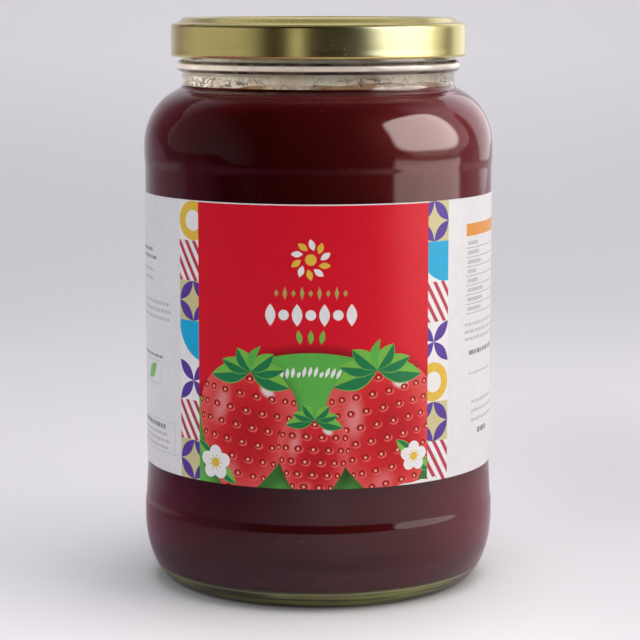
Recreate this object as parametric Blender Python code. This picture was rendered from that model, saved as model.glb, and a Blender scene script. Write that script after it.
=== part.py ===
"""Large glass jam jar: turned jar with a screw finish, pressed gold lid, jam filling and wrap-round paper label.

Metres, +Z up. The origin is the centre of the foot, and the middle of the label's front faces -Y.
"""

import math

import bmesh
import bpy
from mathutils import Vector

MM = 0.001
SEGMENTS = 48
MERGE_DISTANCE = 0.5e-6
SMOOTH_ANGLE = math.radians(35)
FRONT = -math.pi / 2

# Gap kept between pieces that touch on the real jar
FIT_GAP = 0.32 * MM

# Body of the glass, from the floor up
FOOT_RADIUS = 50.0 * MM
FOOT_WIDTH = 3.0 * MM
PUSH_UP_HEIGHT = 3.8 * MM
LOWER_BAND_RADIUS = 61.5 * MM
HEEL_HEIGHT = 22.8 * MM
HEEL_FULLNESS = 2.05
LOWER_BAND_TOP = 27.5 * MM
LABEL_RECESS_RADIUS = 60.2 * MM
LABEL_RECESS_BOTTOM = 31.5 * MM
LABEL_RECESS_TOP = 142.0 * MM
UPPER_BAND_RADIUS = 60.8 * MM
UPPER_BAND_BOTTOM = 144.5 * MM
SHOULDER_START = 153.5 * MM
SHOULDER_TOP = 172.6 * MM
SHOULDER_INSET = 15.2 * MM
SHOULDER_FULLNESS = 1.9

# Neck and finish of the glass
NECK_RADIUS = 47.4 * MM
NECK_FILLET = 1.9 * MM
NECK_BOTTOM = 174.2 * MM
BEAD_MIDDLE = 180.35 * MM
BEAD_HALF_HEIGHT = 2.15 * MM
BEAD_DEPTH = 2.1 * MM
RIM_HEIGHT = 196.1 * MM
RIM_OUTER_ROUND = 1.3 * MM
RIM_INNER_ROUND = 1.1 * MM

# Inside of the glass
FLOOR_HEIGHT = 8.6 * MM
FLOOR_EDGE_HEIGHT = 7.2 * MM
FLOOR_EDGE_RADIUS = 42.0 * MM
BODY_BORE = 57.7 * MM
INNER_HEEL_TOP = 21.0 * MM
INNER_HEEL_FULLNESS = 2.2
INNER_SHOULDER_START = 152.5 * MM
INNER_SHOULDER_TOP = 170.6 * MM
NECK_BORE = 44.0 * MM
NECK_BORE_BOTTOM = 172.8 * MM
NECK_BORE_FILLET = 1.8 * MM

# Six-start thread on the finish, and the six lugs of the lid that hook below it
STARTS = 6
THREAD_FIRST_ANGLE = FRONT - math.radians(7)
THREAD_SWEEP = math.radians(54)
THREAD_LOW = 184.2 * MM
THREAD_RISE = 2.9 * MM
THREAD_TIP_RADIUS = 48.85 * MM
THREAD_ROOT_RADIUS = 47.0 * MM
THREAD_TIP_HALF = 0.55 * MM
THREAD_ROOT_HALF = 1.5 * MM
THREAD_STATIONS = 8
THREAD_END_TAPER = 0.35
LUG_FIRST_ANGLE = FRONT + math.radians(42)
LUG_SWEEP = math.radians(12)
LUG_INNER_RADIUS = 47.95 * MM
LUG_OUTER_RADIUS = 50.2 * MM
LUG_BOTTOM = 183.65 * MM
LUG_TOP = 184.45 * MM

# Pressed sheet lid
SHEET = 0.5 * MM
LID_TOP = 196.9 * MM
LID_BOTTOM = 183.5 * MM
LID_RADIUS = 51.15 * MM
LID_SHOULDER_ROUND = 1.5 * MM
LID_LEDGE_HEIGHT = 195.0 * MM
LID_LEDGE_RADIUS = 49.3 * MM
LID_RING_OUTER = 46.8 * MM
LID_RING_INNER = 42.5 * MM
LID_PANEL_RADIUS = 41.0 * MM
LID_PANEL_DROP = 0.9 * MM
LID_CURL_RADIUS = 0.95 * MM

# Jam and label
JAM_LEVEL = 173.0 * MM
JAM_MENISCUS = 0.8 * MM
JAM_MENISCUS_WIDTH = 2.0 * MM
LABEL_BOTTOM = 42.8 * MM
LABEL_TOP = 137.1 * MM
LABEL_THICKNESS = 0.3 * MM
LABEL_OPEN_SEGMENTS = 2

GLASS_COLOUR = (0.86, 0.93, 0.87, 1.0)
LID_COLOUR = (0.66, 0.55, 0.27, 1.0)
JAM_COLOUR = (0.070, 0.007, 0.008, 1.0)
LABEL_COLOUR = (0.74, 0.74, 0.76, 1.0)


def clear_scene():
    """Remove every object that the scene starts with."""
    for item in list(bpy.data.objects):
        bpy.data.objects.remove(item, do_unlink=True)


def make_material(name, colour, roughness, metallic=0.0, transmission=0.0):
    """Principled material of one finish."""
    material = bpy.data.materials.new(name)
    material.use_nodes = True
    material.diffuse_color = colour
    shader = material.node_tree.nodes["Principled BSDF"]
    shader.inputs["Base Color"].default_value = colour
    shader.inputs["Roughness"].default_value = roughness
    shader.inputs["Metallic"].default_value = metallic
    shader.inputs["Transmission Weight"].default_value = transmission
    return material


def quarter_curve(upright, level, fullness=2.0, steps=6):
    """Quarter of a superellipse, from the end where the wall is upright to the end where it lies level.

    A fullness of 2 is an ellipse, and a larger one fills the corner more.
    """
    points = []
    for step in range(steps + 1):
        turn = math.pi / 2 * step / steps
        across = math.cos(turn) ** (2 / fullness)
        along = math.sin(turn) ** (2 / fullness)
        radius = level[0] + (upright[0] - level[0]) * across
        height = upright[1] + (level[1] - upright[1]) * along
        points.append((radius, height))
    return points


def bead_curve(steps=6):
    """Round ring below the thread, from its lower edge to its upper edge."""
    points = []
    for step in range(steps + 1):
        turn = math.pi * step / steps
        radius = NECK_RADIUS + BEAD_DEPTH * math.sin(turn)
        height = BEAD_MIDDLE - BEAD_HALF_HEIGHT * math.cos(turn)
        points.append((radius, height))
    return points


def jar_outside():
    """Outer outline of the glass, from the middle of the base to the top of the rim."""
    foot_inner = FOOT_RADIUS - FOOT_WIDTH
    points = [(0.0, PUSH_UP_HEIGHT), (foot_inner * 0.7, PUSH_UP_HEIGHT * 0.8)]
    points += [(foot_inner * 0.93, PUSH_UP_HEIGHT * 0.42), (foot_inner, 0.0)]
    heel = quarter_curve((LOWER_BAND_RADIUS, HEEL_HEIGHT), (FOOT_RADIUS, 0.0), HEEL_FULLNESS, 9)
    points += reversed(heel)
    points.append((LOWER_BAND_RADIUS, LOWER_BAND_TOP))
    points.append((LABEL_RECESS_RADIUS, LABEL_RECESS_BOTTOM))
    points.append((LABEL_RECESS_RADIUS, LABEL_RECESS_TOP))
    points.append((UPPER_BAND_RADIUS, UPPER_BAND_BOTTOM))
    shoulder_end = (UPPER_BAND_RADIUS - SHOULDER_INSET, SHOULDER_TOP)
    shoulder = quarter_curve((UPPER_BAND_RADIUS, SHOULDER_START), shoulder_end, SHOULDER_FULLNESS, 10)
    fillet_radius = NECK_RADIUS + NECK_FILLET
    kept = [point for point in shoulder if point[0] > fillet_radius]
    points += kept
    fillet_end = (fillet_radius, NECK_BOTTOM - NECK_FILLET)
    points += reversed(quarter_curve((NECK_RADIUS, NECK_BOTTOM), fillet_end, 2.0, 3))
    points += bead_curve()
    rim_start = (NECK_RADIUS, RIM_HEIGHT - RIM_OUTER_ROUND)
    rim_end = (NECK_RADIUS - RIM_OUTER_ROUND, RIM_HEIGHT)
    points += quarter_curve(rim_start, rim_end, 2.0, 3)
    return points


def jar_inside():
    """Inner outline of the glass, from the top of the rim down to the middle of the floor."""
    rim_start = (NECK_BORE, RIM_HEIGHT - RIM_INNER_ROUND)
    rim_end = (NECK_BORE + RIM_INNER_ROUND, RIM_HEIGHT)
    points = list(reversed(quarter_curve(rim_start, rim_end, 2.0, 3)))
    points.append((NECK_BORE, NECK_BORE_BOTTOM))
    points += inner_body(0.0)
    return points


def inner_body(gap):
    """Outline of the inside from under the neck to the middle of the floor, held in from the wall by a gap."""
    bore = BODY_BORE - gap
    neck = NECK_BORE - gap
    shoulder_end = (NECK_BORE - gap, INNER_SHOULDER_TOP - gap)
    shoulder = quarter_curve((bore, INNER_SHOULDER_START), shoulder_end, SHOULDER_FULLNESS, 8)
    points = [point for point in reversed(shoulder) if point[0] > neck + NECK_BORE_FILLET]
    floor_edge = (FLOOR_EDGE_RADIUS, FLOOR_EDGE_HEIGHT + gap)
    points += quarter_curve((bore, INNER_HEEL_TOP), floor_edge, INNER_HEEL_FULLNESS, 6)
    points.append((FLOOR_EDGE_RADIUS * 0.6, (FLOOR_HEIGHT + FLOOR_EDGE_HEIGHT) / 2 + gap))
    points.append((0.0, FLOOR_HEIGHT + gap))
    return points


def lid_outline():
    """Outline of the pressed sheet, over the top, round the curl and back along the underside."""
    panel_top = LID_TOP - LID_PANEL_DROP
    step = LID_RING_INNER - LID_PANEL_RADIUS
    outside = [(0.0, panel_top), (LID_PANEL_RADIUS, panel_top)]
    outside += [(LID_PANEL_RADIUS + 0.6 * step, LID_TOP - 0.2 * LID_PANEL_DROP), (LID_RING_INNER, LID_TOP)]
    outside += [(LID_RING_OUTER - 0.5 * MM, LID_TOP), (LID_RING_OUTER + 0.3 * MM, LID_TOP - 0.25 * MM)]
    outside += [(LID_LEDGE_RADIUS - 0.6 * MM, LID_LEDGE_HEIGHT + 0.3 * MM)]
    shoulder_level = (LID_RADIUS - LID_SHOULDER_ROUND, LID_LEDGE_HEIGHT)
    outside += [(LID_LEDGE_RADIUS, LID_LEDGE_HEIGHT)]
    shoulder = quarter_curve((LID_RADIUS, LID_LEDGE_HEIGHT - LID_SHOULDER_ROUND), shoulder_level, 2.0, 4)
    outside += reversed(shoulder)
    curl = []
    curl_centre = (LID_RADIUS - LID_CURL_RADIUS, LID_BOTTOM + LID_CURL_RADIUS)
    curl_steps = 7
    for index in range(curl_steps + 1):
        turn = -math.radians(215) * index / curl_steps
        radius = curl_centre[0] + LID_CURL_RADIUS * math.cos(turn)
        height = curl_centre[1] + LID_CURL_RADIUS * math.sin(turn)
        curl.append((radius, height))
    wall = LID_RADIUS - SHEET
    underside = [(wall, LID_BOTTOM + 3.2 * LID_CURL_RADIUS)]
    under_corner = quarter_curve(
        (wall, LID_LEDGE_HEIGHT - LID_SHOULDER_ROUND),
        (shoulder_level[0], LID_LEDGE_HEIGHT - SHEET),
        2.0,
        3,
    )
    underside += under_corner
    underside += [(LID_LEDGE_RADIUS - 0.9 * MM, LID_LEDGE_HEIGHT + 0.05 * MM)]
    underside += [(LID_RING_OUTER, LID_TOP - SHEET), (LID_RING_INNER + 0.3 * MM, LID_TOP - SHEET)]
    underside += [(LID_PANEL_RADIUS + 0.2 * MM, panel_top - SHEET), (0.0, panel_top - SHEET)]
    return outside + curl + underside


def jam_outline():
    """Outline of the jam, from the middle of its surface, down the glass and back along the floor."""
    edge = NECK_BORE - FIT_GAP
    inner_edge = edge - JAM_MENISCUS_WIDTH
    points = [(0.0, JAM_LEVEL), (inner_edge, JAM_LEVEL), (edge - 0.4 * MM, JAM_LEVEL + 0.35 * JAM_MENISCUS)]
    points += [(edge, JAM_LEVEL + JAM_MENISCUS), (edge, NECK_BORE_BOTTOM - FIT_GAP)]
    points += inner_body(FIT_GAP)
    return points


def turned_mesh(name, outline):
    """Closed mesh turned about Z from an outline of (radius, height) points that starts and ends on the axis."""
    work = bmesh.new()
    corners = [work.verts.new((radius, 0.0, height)) for radius, height in outline]
    edges = [work.edges.new(pair) for pair in zip(corners, corners[1:])]
    bmesh.ops.spin(
        work,
        geom=corners + edges,
        cent=(0.0, 0.0, 0.0),
        axis=(0.0, 0.0, 1.0),
        angle=2 * math.pi,
        steps=SEGMENTS,
    )
    return finished_mesh(name, work)


def finished_mesh(name, work):
    """Mesh with its doubled points merged and its faces turned outwards."""
    bmesh.ops.remove_doubles(work, verts=work.verts, dist=MERGE_DISTANCE)
    bmesh.ops.dissolve_degenerate(work, edges=work.edges, dist=MERGE_DISTANCE)
    bmesh.ops.recalc_face_normals(work, faces=work.faces)
    mesh = bpy.data.meshes.new(name)
    work.to_mesh(mesh)
    work.free()
    mesh.shade_smooth()
    mesh.set_sharp_from_angle(angle=SMOOTH_ANGLE)
    return mesh


def place_object(name, mesh, material, parent=None):
    """Object of a finished mesh, in the scene."""
    item = bpy.data.objects.new(name, mesh)
    if material is not None:
        mesh.materials.append(material)
    item.parent = parent
    bpy.context.scene.collection.objects.link(item)
    return item


def swept_loops(work, loops):
    """Closed body through a row of equal outlines, with both ends capped."""
    rows = [[work.verts.new(point) for point in loop] for loop in loops]
    count = len(rows[0])
    for near, far in zip(rows, rows[1:]):
        for index in range(count):
            following = (index + 1) % count
            work.faces.new((near[index], near[following], far[following], far[index]))
    work.faces.new(rows[0])
    work.faces.new(list(reversed(rows[-1])))


def polar(radius, angle, height):
    """Point at a radius and an angle about the jar's axis."""
    return Vector((radius * math.cos(angle), radius * math.sin(angle), height))


def thread_mesh():
    """The six rising ridges of the finish, each tapered at both ends and rooted inside the neck wall."""
    work = bmesh.new()
    for start in range(STARTS):
        first = THREAD_FIRST_ANGLE + 2 * math.pi * start / STARTS
        loops = []
        for station in range(THREAD_STATIONS):
            along = station / (THREAD_STATIONS - 1)
            at_end = station in (0, THREAD_STATIONS - 1)
            size = THREAD_END_TAPER if at_end else 1.0
            angle = first + THREAD_SWEEP * along
            middle = THREAD_LOW + THREAD_RISE * along
            tip = THREAD_ROOT_RADIUS + (THREAD_TIP_RADIUS - THREAD_ROOT_RADIUS) * max(size, 0.5)
            root_half = THREAD_ROOT_HALF * size
            tip_half = THREAD_TIP_HALF * size
            loops.append(
                [
                    polar(THREAD_ROOT_RADIUS, angle, middle - root_half),
                    polar(tip, angle, middle - tip_half),
                    polar(tip, angle, middle + tip_half),
                    polar(THREAD_ROOT_RADIUS, angle, middle + root_half),
                ]
            )
        swept_loops(work, loops)
    return finished_mesh("thread_ridges", work)


def lug_mesh():
    """The six lugs that reach in from the lid's curl."""
    work = bmesh.new()
    stations = 4
    for start in range(STARTS):
        first = LUG_FIRST_ANGLE - LUG_SWEEP / 2 + 2 * math.pi * start / STARTS
        loops = []
        for station in range(stations):
            angle = first + LUG_SWEEP * station / (stations - 1)
            at_end = station in (0, stations - 1)
            inner = LUG_INNER_RADIUS + (0.9 * MM if at_end else 0.0)
            loops.append(
                [
                    polar(inner, angle, LUG_BOTTOM),
                    polar(LUG_OUTER_RADIUS, angle, LUG_BOTTOM),
                    polar(LUG_OUTER_RADIUS, angle, LUG_TOP),
                    polar(inner, angle, LUG_TOP),
                ]
            )
        swept_loops(work, loops)
    return finished_mesh("lid_lugs", work)


def join_to(body, helper_mesh):
    """Unite a helper shape with a body by a Boolean, with the helper hidden."""
    helper = place_object(helper_mesh.name, helper_mesh, None, body.parent)
    helper.hide_render = True
    helper.display_type = "WIRE"
    union = body.modifiers.new(helper.name, "BOOLEAN")
    union.operation = "UNION"
    union.solver = "EXACT"
    union.object = helper


def label_mesh():
    """Band of paper round the recess, open at the back."""
    inner = LABEL_RECESS_RADIUS + FIT_GAP
    outer = inner + LABEL_THICKNESS
    covered = SEGMENTS - LABEL_OPEN_SEGMENTS
    angle = 2 * math.pi * covered / SEGMENTS
    first = FRONT - angle / 2
    loops = []
    for step in range(covered + 1):
        turn = first + angle * step / covered
        loops.append(
            [
                polar(inner, turn, LABEL_BOTTOM),
                polar(outer, turn, LABEL_BOTTOM),
                polar(outer, turn, LABEL_TOP),
                polar(inner, turn, LABEL_TOP),
            ]
        )
    work = bmesh.new()
    swept_loops(work, loops)
    return finished_mesh("label", work)


def build_jar():
    """The four pieces, under one empty at the foot."""
    base = bpy.data.objects.new("jam_jar", None)
    bpy.context.scene.collection.objects.link(base)

    glass = make_material("clear_glass", GLASS_COLOUR, 0.03, transmission=1.0)
    jar = place_object("glass_jar", turned_mesh("glass_jar", jar_outside() + jar_inside()), glass, base)
    join_to(jar, thread_mesh())

    gold = make_material("gold_lacquer", LID_COLOUR, 0.28, metallic=1.0)
    lid = place_object("lid", turned_mesh("lid", lid_outline()), gold, base)
    join_to(lid, lug_mesh())

    jam = make_material("dark_jam", JAM_COLOUR, 0.2)
    place_object("jam", turned_mesh("jam", jam_outline()), jam, base)

    paper = make_material("label_paper", LABEL_COLOUR, 0.5)
    place_object("label", label_mesh(), paper, base)


clear_scene()
build_jar()
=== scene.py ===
"""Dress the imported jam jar: clear glass, gold lid, dark jam, printed label and a plain pale studio."""

import logging
import random
from collections.abc import Callable
from dataclasses import dataclass, field
from enum import Enum
from functools import cache
from math import atan2, ceil, cos, dist, pi, radians, sin
from typing import Any

import bmesh
import bpy
import numpy as np
from bpy.types import Material, Mesh, NodeTree, Object
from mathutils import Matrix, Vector
from mathutils.geometry import delaunay_2d_cdt


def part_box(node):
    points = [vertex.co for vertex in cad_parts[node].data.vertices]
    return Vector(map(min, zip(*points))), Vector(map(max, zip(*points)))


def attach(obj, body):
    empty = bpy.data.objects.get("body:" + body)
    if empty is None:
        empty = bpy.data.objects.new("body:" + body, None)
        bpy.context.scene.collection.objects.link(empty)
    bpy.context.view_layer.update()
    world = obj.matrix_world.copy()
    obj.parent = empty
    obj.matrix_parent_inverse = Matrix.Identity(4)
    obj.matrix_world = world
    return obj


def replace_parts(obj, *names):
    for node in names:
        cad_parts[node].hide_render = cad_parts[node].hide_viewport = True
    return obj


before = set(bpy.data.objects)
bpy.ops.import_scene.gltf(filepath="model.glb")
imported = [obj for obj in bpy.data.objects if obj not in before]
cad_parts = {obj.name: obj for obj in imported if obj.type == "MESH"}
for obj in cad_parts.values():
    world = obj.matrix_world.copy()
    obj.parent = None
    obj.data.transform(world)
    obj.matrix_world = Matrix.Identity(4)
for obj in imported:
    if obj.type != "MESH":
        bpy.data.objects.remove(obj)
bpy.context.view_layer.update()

MM = 0.001
LOG = logging.getLogger("jam_jar")

Point = tuple[float, float]
Outline = list[Point]
Colour = tuple[float, float, float]
BLACK = (0.0, 0.0, 0.0)


class Slot(Enum):
    """The record's material slots."""

    GLASS = "glass"
    LID = "lid_gold"
    JAM = "jam"
    LABEL = "label_paper"


class Ink(Enum):
    """Printing inks of the label, as linear colours."""

    PAPER = (0.80, 0.80, 0.815)
    WHITE = (0.86, 0.86, 0.85)
    RED = (0.70, 0.006, 0.022)
    STRIPE = (0.52, 0.050, 0.090)
    BERRY = (0.66, 0.020, 0.024)
    BERRY_SHADE = (0.48, 0.004, 0.012)
    BERRY_GLOW = (0.80, 0.120, 0.110)
    BERRY_SHEEN = (0.86, 0.400, 0.380)
    BERRY_SPARK = (0.90, 0.800, 0.800)
    DIMPLE = (0.36, 0.006, 0.010)
    SEED = (0.90, 0.420, 0.260)
    GREEN = (0.115, 0.470, 0.075)
    LEAF = (0.190, 0.520, 0.070)
    LEAF_SHADE = (0.015, 0.210, 0.070)
    CYAN = (0.006, 0.420, 0.720)
    PURPLE = (0.100, 0.048, 0.330)
    YELLOW = (0.800, 0.520, 0.060)
    STRAW = (0.640, 0.590, 0.300)
    ORANGE = (0.780, 0.330, 0.060)
    GOLD = (0.440, 0.400, 0.110)
    GREY = (0.260, 0.260, 0.270)
    PALE_GREY = (0.560, 0.560, 0.570)


class TreeWriter:
    """Adds nodes to a shader or geometry tree and links them."""

    def __init__(self, tree: NodeTree) -> None:
        """Keep the tree to write in.

        Args:
            tree: Node tree that the nodes go into.
        """
        self.tree = tree

    def add(self, kind: str, inputs: dict[Any, Any] | None = None, **settings: Any) -> bpy.types.Node:
        """Add one node.

        Args:
            kind: Blender's type name of the node.
            inputs: Input socket name or index to a value, or to the output socket that feeds it.
            settings: Properties to set on the node first.

        Returns:
            The new node.
        """
        node = self.tree.nodes.new(kind)
        for name, value in settings.items():
            setattr(node, name, value)
        for key, value in (inputs or {}).items():
            self.feed(node.inputs[key], value)
        return node

    def feed(self, socket: bpy.types.NodeSocket, value: Any) -> None:
        """Link a socket to an output, or set its value."""
        if isinstance(value, bpy.types.NodeSocket):
            self.tree.links.new(value, socket)
        elif socket.type == "RGBA":
            socket.default_value = (*value[:3], 1.0)
        else:
            socket.default_value = value

    def math(self, operation: str, first: Any, second: Any = 0.0, clamp: bool = False) -> Any:
        """Result socket of a Math node."""
        node = self.add("ShaderNodeMath", {0: first, 1: second}, operation=operation, use_clamp=clamp)
        return node.outputs[0]

    def vector_math(self, operation: str, inputs: dict[Any, Any]) -> Any:
        """Outputs of a Vector Math node."""
        return self.add("ShaderNodeVectorMath", inputs, operation=operation).outputs

    def product(self, *values: Any) -> Any:
        """Product of several values."""
        result = values[0]
        for value in values[1:]:
            result = self.math("MULTIPLY", result, value)
        return result

    def spread(self, value: Any, low: Any, high: Any, to_low: float = 0.0, to_high: float = 1.0) -> Any:
        """Result socket of a Map Range node with smooth ends."""
        inputs = {"Value": value, 1: low, 2: high, 3: to_low, 4: to_high}
        node = self.add("ShaderNodeMapRange", inputs, interpolation_type="SMOOTHSTEP")
        return node.outputs["Result"]

    def band(self, value: Any, middle: float, inner: float, outer: float, strength: float = 1.0) -> Any:
        """Strength within an inner distance of a middle value, down to zero at an outer distance."""
        away = self.math("ABSOLUTE", self.math("SUBTRACT", value, middle))
        return self.spread(away, inner, outer, strength, 0.0)

    def noise(self, vector: Any, scale: Any, detail: float, rough: float, bent: float = 0.0) -> Any:
        """Factor socket of a Noise Texture node."""
        inputs = {"Vector": vector, "Scale": scale, "Detail": detail, "Roughness": rough}
        return self.add("ShaderNodeTexNoise", {**inputs, "Distortion": bent}).outputs["Fac"]

    def axes(self, vector: Any) -> Any:
        """The X, Y and Z sockets of a vector."""
        return self.add("ShaderNodeSeparateXYZ", {0: vector}).outputs

    def spot(self) -> Any:
        """Socket of the place on the piece."""
        return self.add("ShaderNodeTexCoord").outputs["Object"]

    def blend(self, factor: Any, first: Any, second: Any, mode: str = "MIX") -> Any:
        """Colour result socket of a Mix node."""
        node = self.add("ShaderNodeMix", data_type="RGBA", blend_type=mode)
        self.feed(node.inputs["Factor"], factor)
        self.feed(node.inputs["A"], first)
        self.feed(node.inputs["B"], second)
        return node.outputs["Result"]


def shader_group(name: str, inputs: dict[str, tuple[str, Any]], outputs: dict[str, str]) -> TreeWriter:
    """Start a shader node group.

    Args:
        name: Name of the group.
        inputs: Input name to (socket type, default value).
        outputs: Output name to socket type.

    Returns:
        Writer for the group's tree.
    """
    tree = bpy.data.node_groups.new(name, "ShaderNodeTree")
    for label, (kind, default) in inputs.items():
        socket = tree.interface.new_socket(label, in_out="INPUT", socket_type=kind)
        socket.default_value = default
    for label, kind in outputs.items():
        tree.interface.new_socket(label, in_out="OUTPUT", socket_type=kind)
    return TreeWriter(tree)


FLOAT = "NodeSocketFloat"
COLOUR = "NodeSocketColor"
VECTOR = "NodeSocketVector"
WHOLE = "NodeSocketInt"


@cache
def handling_marks_group() -> NodeTree:
    """Smudges and fine rub marks that handled glass, metal and paper share.

    Returns:
        The group, which puts out a slightly dulled colour, a roughness and a height.
    """
    writer = shader_group(
        "handling_marks",
        {
            "Colour": (COLOUR, (1.0, 1.0, 1.0, 1.0)),
            "Dulled": (COLOUR, (0.8, 0.8, 0.8, 1.0)),
            "Scale": (FLOAT, 40.0),
            "Amount": (FLOAT, 0.3),
            "Base roughness": (FLOAT, 0.2),
            "Marked roughness": (FLOAT, 0.3),
        },
        {"Colour": COLOUR, "Roughness": FLOAT, "Height": FLOAT},
    )
    source = writer.add("NodeGroupInput").outputs
    spot = writer.spot()
    broad = writer.noise(spot, source["Scale"], 4.0, 0.6)
    fine = writer.noise(spot, writer.product(source["Scale"], 14.0), 3.0, 0.7)
    blot = writer.product(writer.spread(broad, 0.46, 0.68), 0.75)
    speck = writer.product(writer.spread(fine, 0.50, 0.75), 0.25)
    mask = writer.math("MULTIPLY", writer.math("ADD", blot, speck), source["Amount"], clamp=True)
    colour = writer.blend(mask, source["Colour"], source["Dulled"])
    step = writer.math("SUBTRACT", source["Marked roughness"], source["Base roughness"])
    rough = writer.math("ADD", source["Base roughness"], writer.product(step, mask))
    writer.add("NodeGroupOutput", {"Colour": colour, "Roughness": rough, "Height": fine})
    return writer.tree


@cache
def mottle_group() -> NodeTree:
    """Cloudy two-colour variation, used by jam, fruit specks, residue and the floor.

    Returns:
        The group, which puts out a colour, a mask and a height.
    """
    writer = shader_group(
        "mottle",
        {
            "Dark": (COLOUR, (0.1, 0.1, 0.1, 1.0)),
            "Light": (COLOUR, (0.2, 0.2, 0.2, 1.0)),
            "Scale": (FLOAT, 30.0),
            "Low": (FLOAT, 0.35),
            "High": (FLOAT, 0.65),
        },
        {"Colour": COLOUR, "Mask": FLOAT, "Height": FLOAT},
    )
    source = writer.add("NodeGroupInput").outputs
    cloud = writer.noise(writer.spot(), source["Scale"], 5.0, 0.55, 0.4)
    mask = writer.spread(cloud, source["Low"], source["High"])
    colour = writer.blend(mask, source["Dark"], source["Light"])
    writer.add("NodeGroupOutput", {"Colour": colour, "Mask": mask, "Height": cloud})
    return writer.tree


@cache
def soft_ellipse_group() -> NodeTree:
    """Distance from the middle of an ellipse on the label, 1 at its edge.

    Returns:
        The group, which the printed shades and lights share.
    """
    writer = shader_group(
        "soft_ellipse",
        {
            "Map": (VECTOR, (0.0, 0.0, 0.0)),
            "Centre": (VECTOR, (0.0, 0.0, 0.0)),
            "Half": (VECTOR, (1.0, 1.0, 1.0)),
            "Turn": (FLOAT, 0.0),
        },
        {"Distance": FLOAT},
    )
    source = writer.add("NodeGroupInput").outputs
    off_centre = writer.vector_math("SUBTRACT", {0: source["Map"], 1: source["Centre"]})[0]
    back = writer.product(source["Turn"], -1.0)
    turned = writer.add("ShaderNodeVectorRotate", {"Vector": off_centre, "Angle": back}).outputs[0]
    scaled = writer.vector_math("DIVIDE", {0: turned, 1: source["Half"]})[0]
    writer.add("NodeGroupOutput", {"Distance": writer.vector_math("LENGTH", {0: scaled})["Value"]})
    return writer.tree


class Finish:
    """A Principled material with helpers for the groups and bumps that dress it."""

    def __init__(self, name: str, constants: dict[str, Any]) -> None:
        """Start the material.

        Args:
            name: Material name.
            constants: Principled input to the value that is the same all over the surface.
        """
        self.material = bpy.data.materials.new(name)
        self.material.use_nodes = True
        tree = self.material.node_tree
        self.writer = TreeWriter(tree)
        self.shader = tree.nodes["Principled BSDF"]
        self.output = tree.nodes["Material Output"]
        for label, value in constants.items():
            self.drive(label, value)

    def group(self, tree: NodeTree, inputs: dict[str, Any]) -> Any:
        """Outputs of a group node placed in this material."""
        node = self.writer.add("ShaderNodeGroup", node_tree=tree)
        for label, value in inputs.items():
            self.writer.feed(node.inputs[label], value)
        return node.outputs

    def mottled(self, dark: Colour, light: Colour, scale: float) -> Any:
        """Outputs of a cloudy variation between two colours."""
        return self.group(mottle_group(), {"Dark": dark, "Light": light, "Scale": scale})

    def marked(
        self,
        colours: tuple[Any, Any],
        scale: float,
        amount: float,
        roughness: tuple[float, float],
    ) -> Any:
        """Let handling marks set the roughness and dull a colour.

        Args:
            colours: Clean colour and dulled colour, or the sockets that feed them.
            scale: Scale of the smudges.
            amount: Strength of the marks.
            roughness: Clean roughness and marked roughness.

        Returns:
            Outputs of the marks group.
        """
        given = {"Colour": colours[0], "Dulled": colours[1], "Scale": scale, "Amount": amount}
        given["Base roughness"], given["Marked roughness"] = roughness
        marks = self.group(handling_marks_group(), given)
        self.drive("Base Color", marks["Colour"])
        self.drive("Roughness", marks["Roughness"])
        return marks

    def drive(self, label: str, value: Any) -> None:
        """Link one input of the shader."""
        self.writer.feed(self.shader.inputs[label], value)

    def bump(self, height: Any, strength: float, distance: float) -> None:
        """Feed the shader's normal from a height."""
        inputs = {"Height": height, "Strength": strength, "Distance": distance}
        self.drive("Normal", self.writer.add("ShaderNodeBump", inputs).outputs["Normal"])

    def let_lamps_through(self, tint: Colour) -> None:
        """Let lamp rays pass, so that what lies behind clear glass is lit.

        Args:
            tint: Colour that the passing light takes.
        """
        clear = self.writer.add("ShaderNodeBsdfTransparent", {"Color": tint}).outputs[0]
        lamp_ray = self.writer.add("ShaderNodeLightPath").outputs["Is Shadow Ray"]
        mix = self.writer.add("ShaderNodeMixShader", {0: lamp_ray, 1: self.shader.outputs[0], 2: clear})
        self.writer.feed(self.output.inputs["Surface"], mix.outputs[0])


@dataclass(frozen=True)
class GlassFinish:
    """Clear jar glass, faintly green where it is thick."""

    colour: Colour = (0.985, 0.995, 0.985)
    smudged: Colour = (0.95, 0.955, 0.95)
    lamp_tint: Colour = (0.97, 0.98, 0.97)
    ior: float = 1.52
    body_tint: Colour = (0.55, 0.80, 0.48)
    body_density: float = 26.0

    def make(self) -> Material:
        """Build the material.

        Returns:
            The material.
        """
        constants = {"IOR": self.ior, "Transmission Weight": 1.0, "Base Color": self.colour}
        finish = Finish("jar_glass", constants)
        finish.marked((self.colour, self.smudged), 28.0, 0.5, (0.05, 0.10))
        finish.let_lamps_through(self.lamp_tint)
        body = {"Color": self.body_tint, "Density": self.body_density}
        volume = finish.writer.add("ShaderNodeVolumeAbsorption", body)
        finish.writer.feed(finish.output.inputs["Volume"], volume.outputs[0])
        return finish.material


@dataclass(frozen=True)
class LidFinish:
    """Gold lacquer over pressed tinplate."""

    gold: Colour = (0.740, 0.635, 0.215)
    dulled: Colour = (0.630, 0.540, 0.200)

    def make(self) -> Material:
        """Build the material.

        Returns:
            The material.
        """
        constants = {"Metallic": 1.0, "Coat Weight": 0.35, "Coat Roughness": 0.14, "Coat IOR": 1.5}
        finish = Finish("gold_lacquer", constants)
        marks = finish.marked((self.gold, self.dulled), 55.0, 0.4, (0.25, 0.33))
        finish.bump(marks["Height"], 0.03, 0.1 * MM)
        return finish.material


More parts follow.
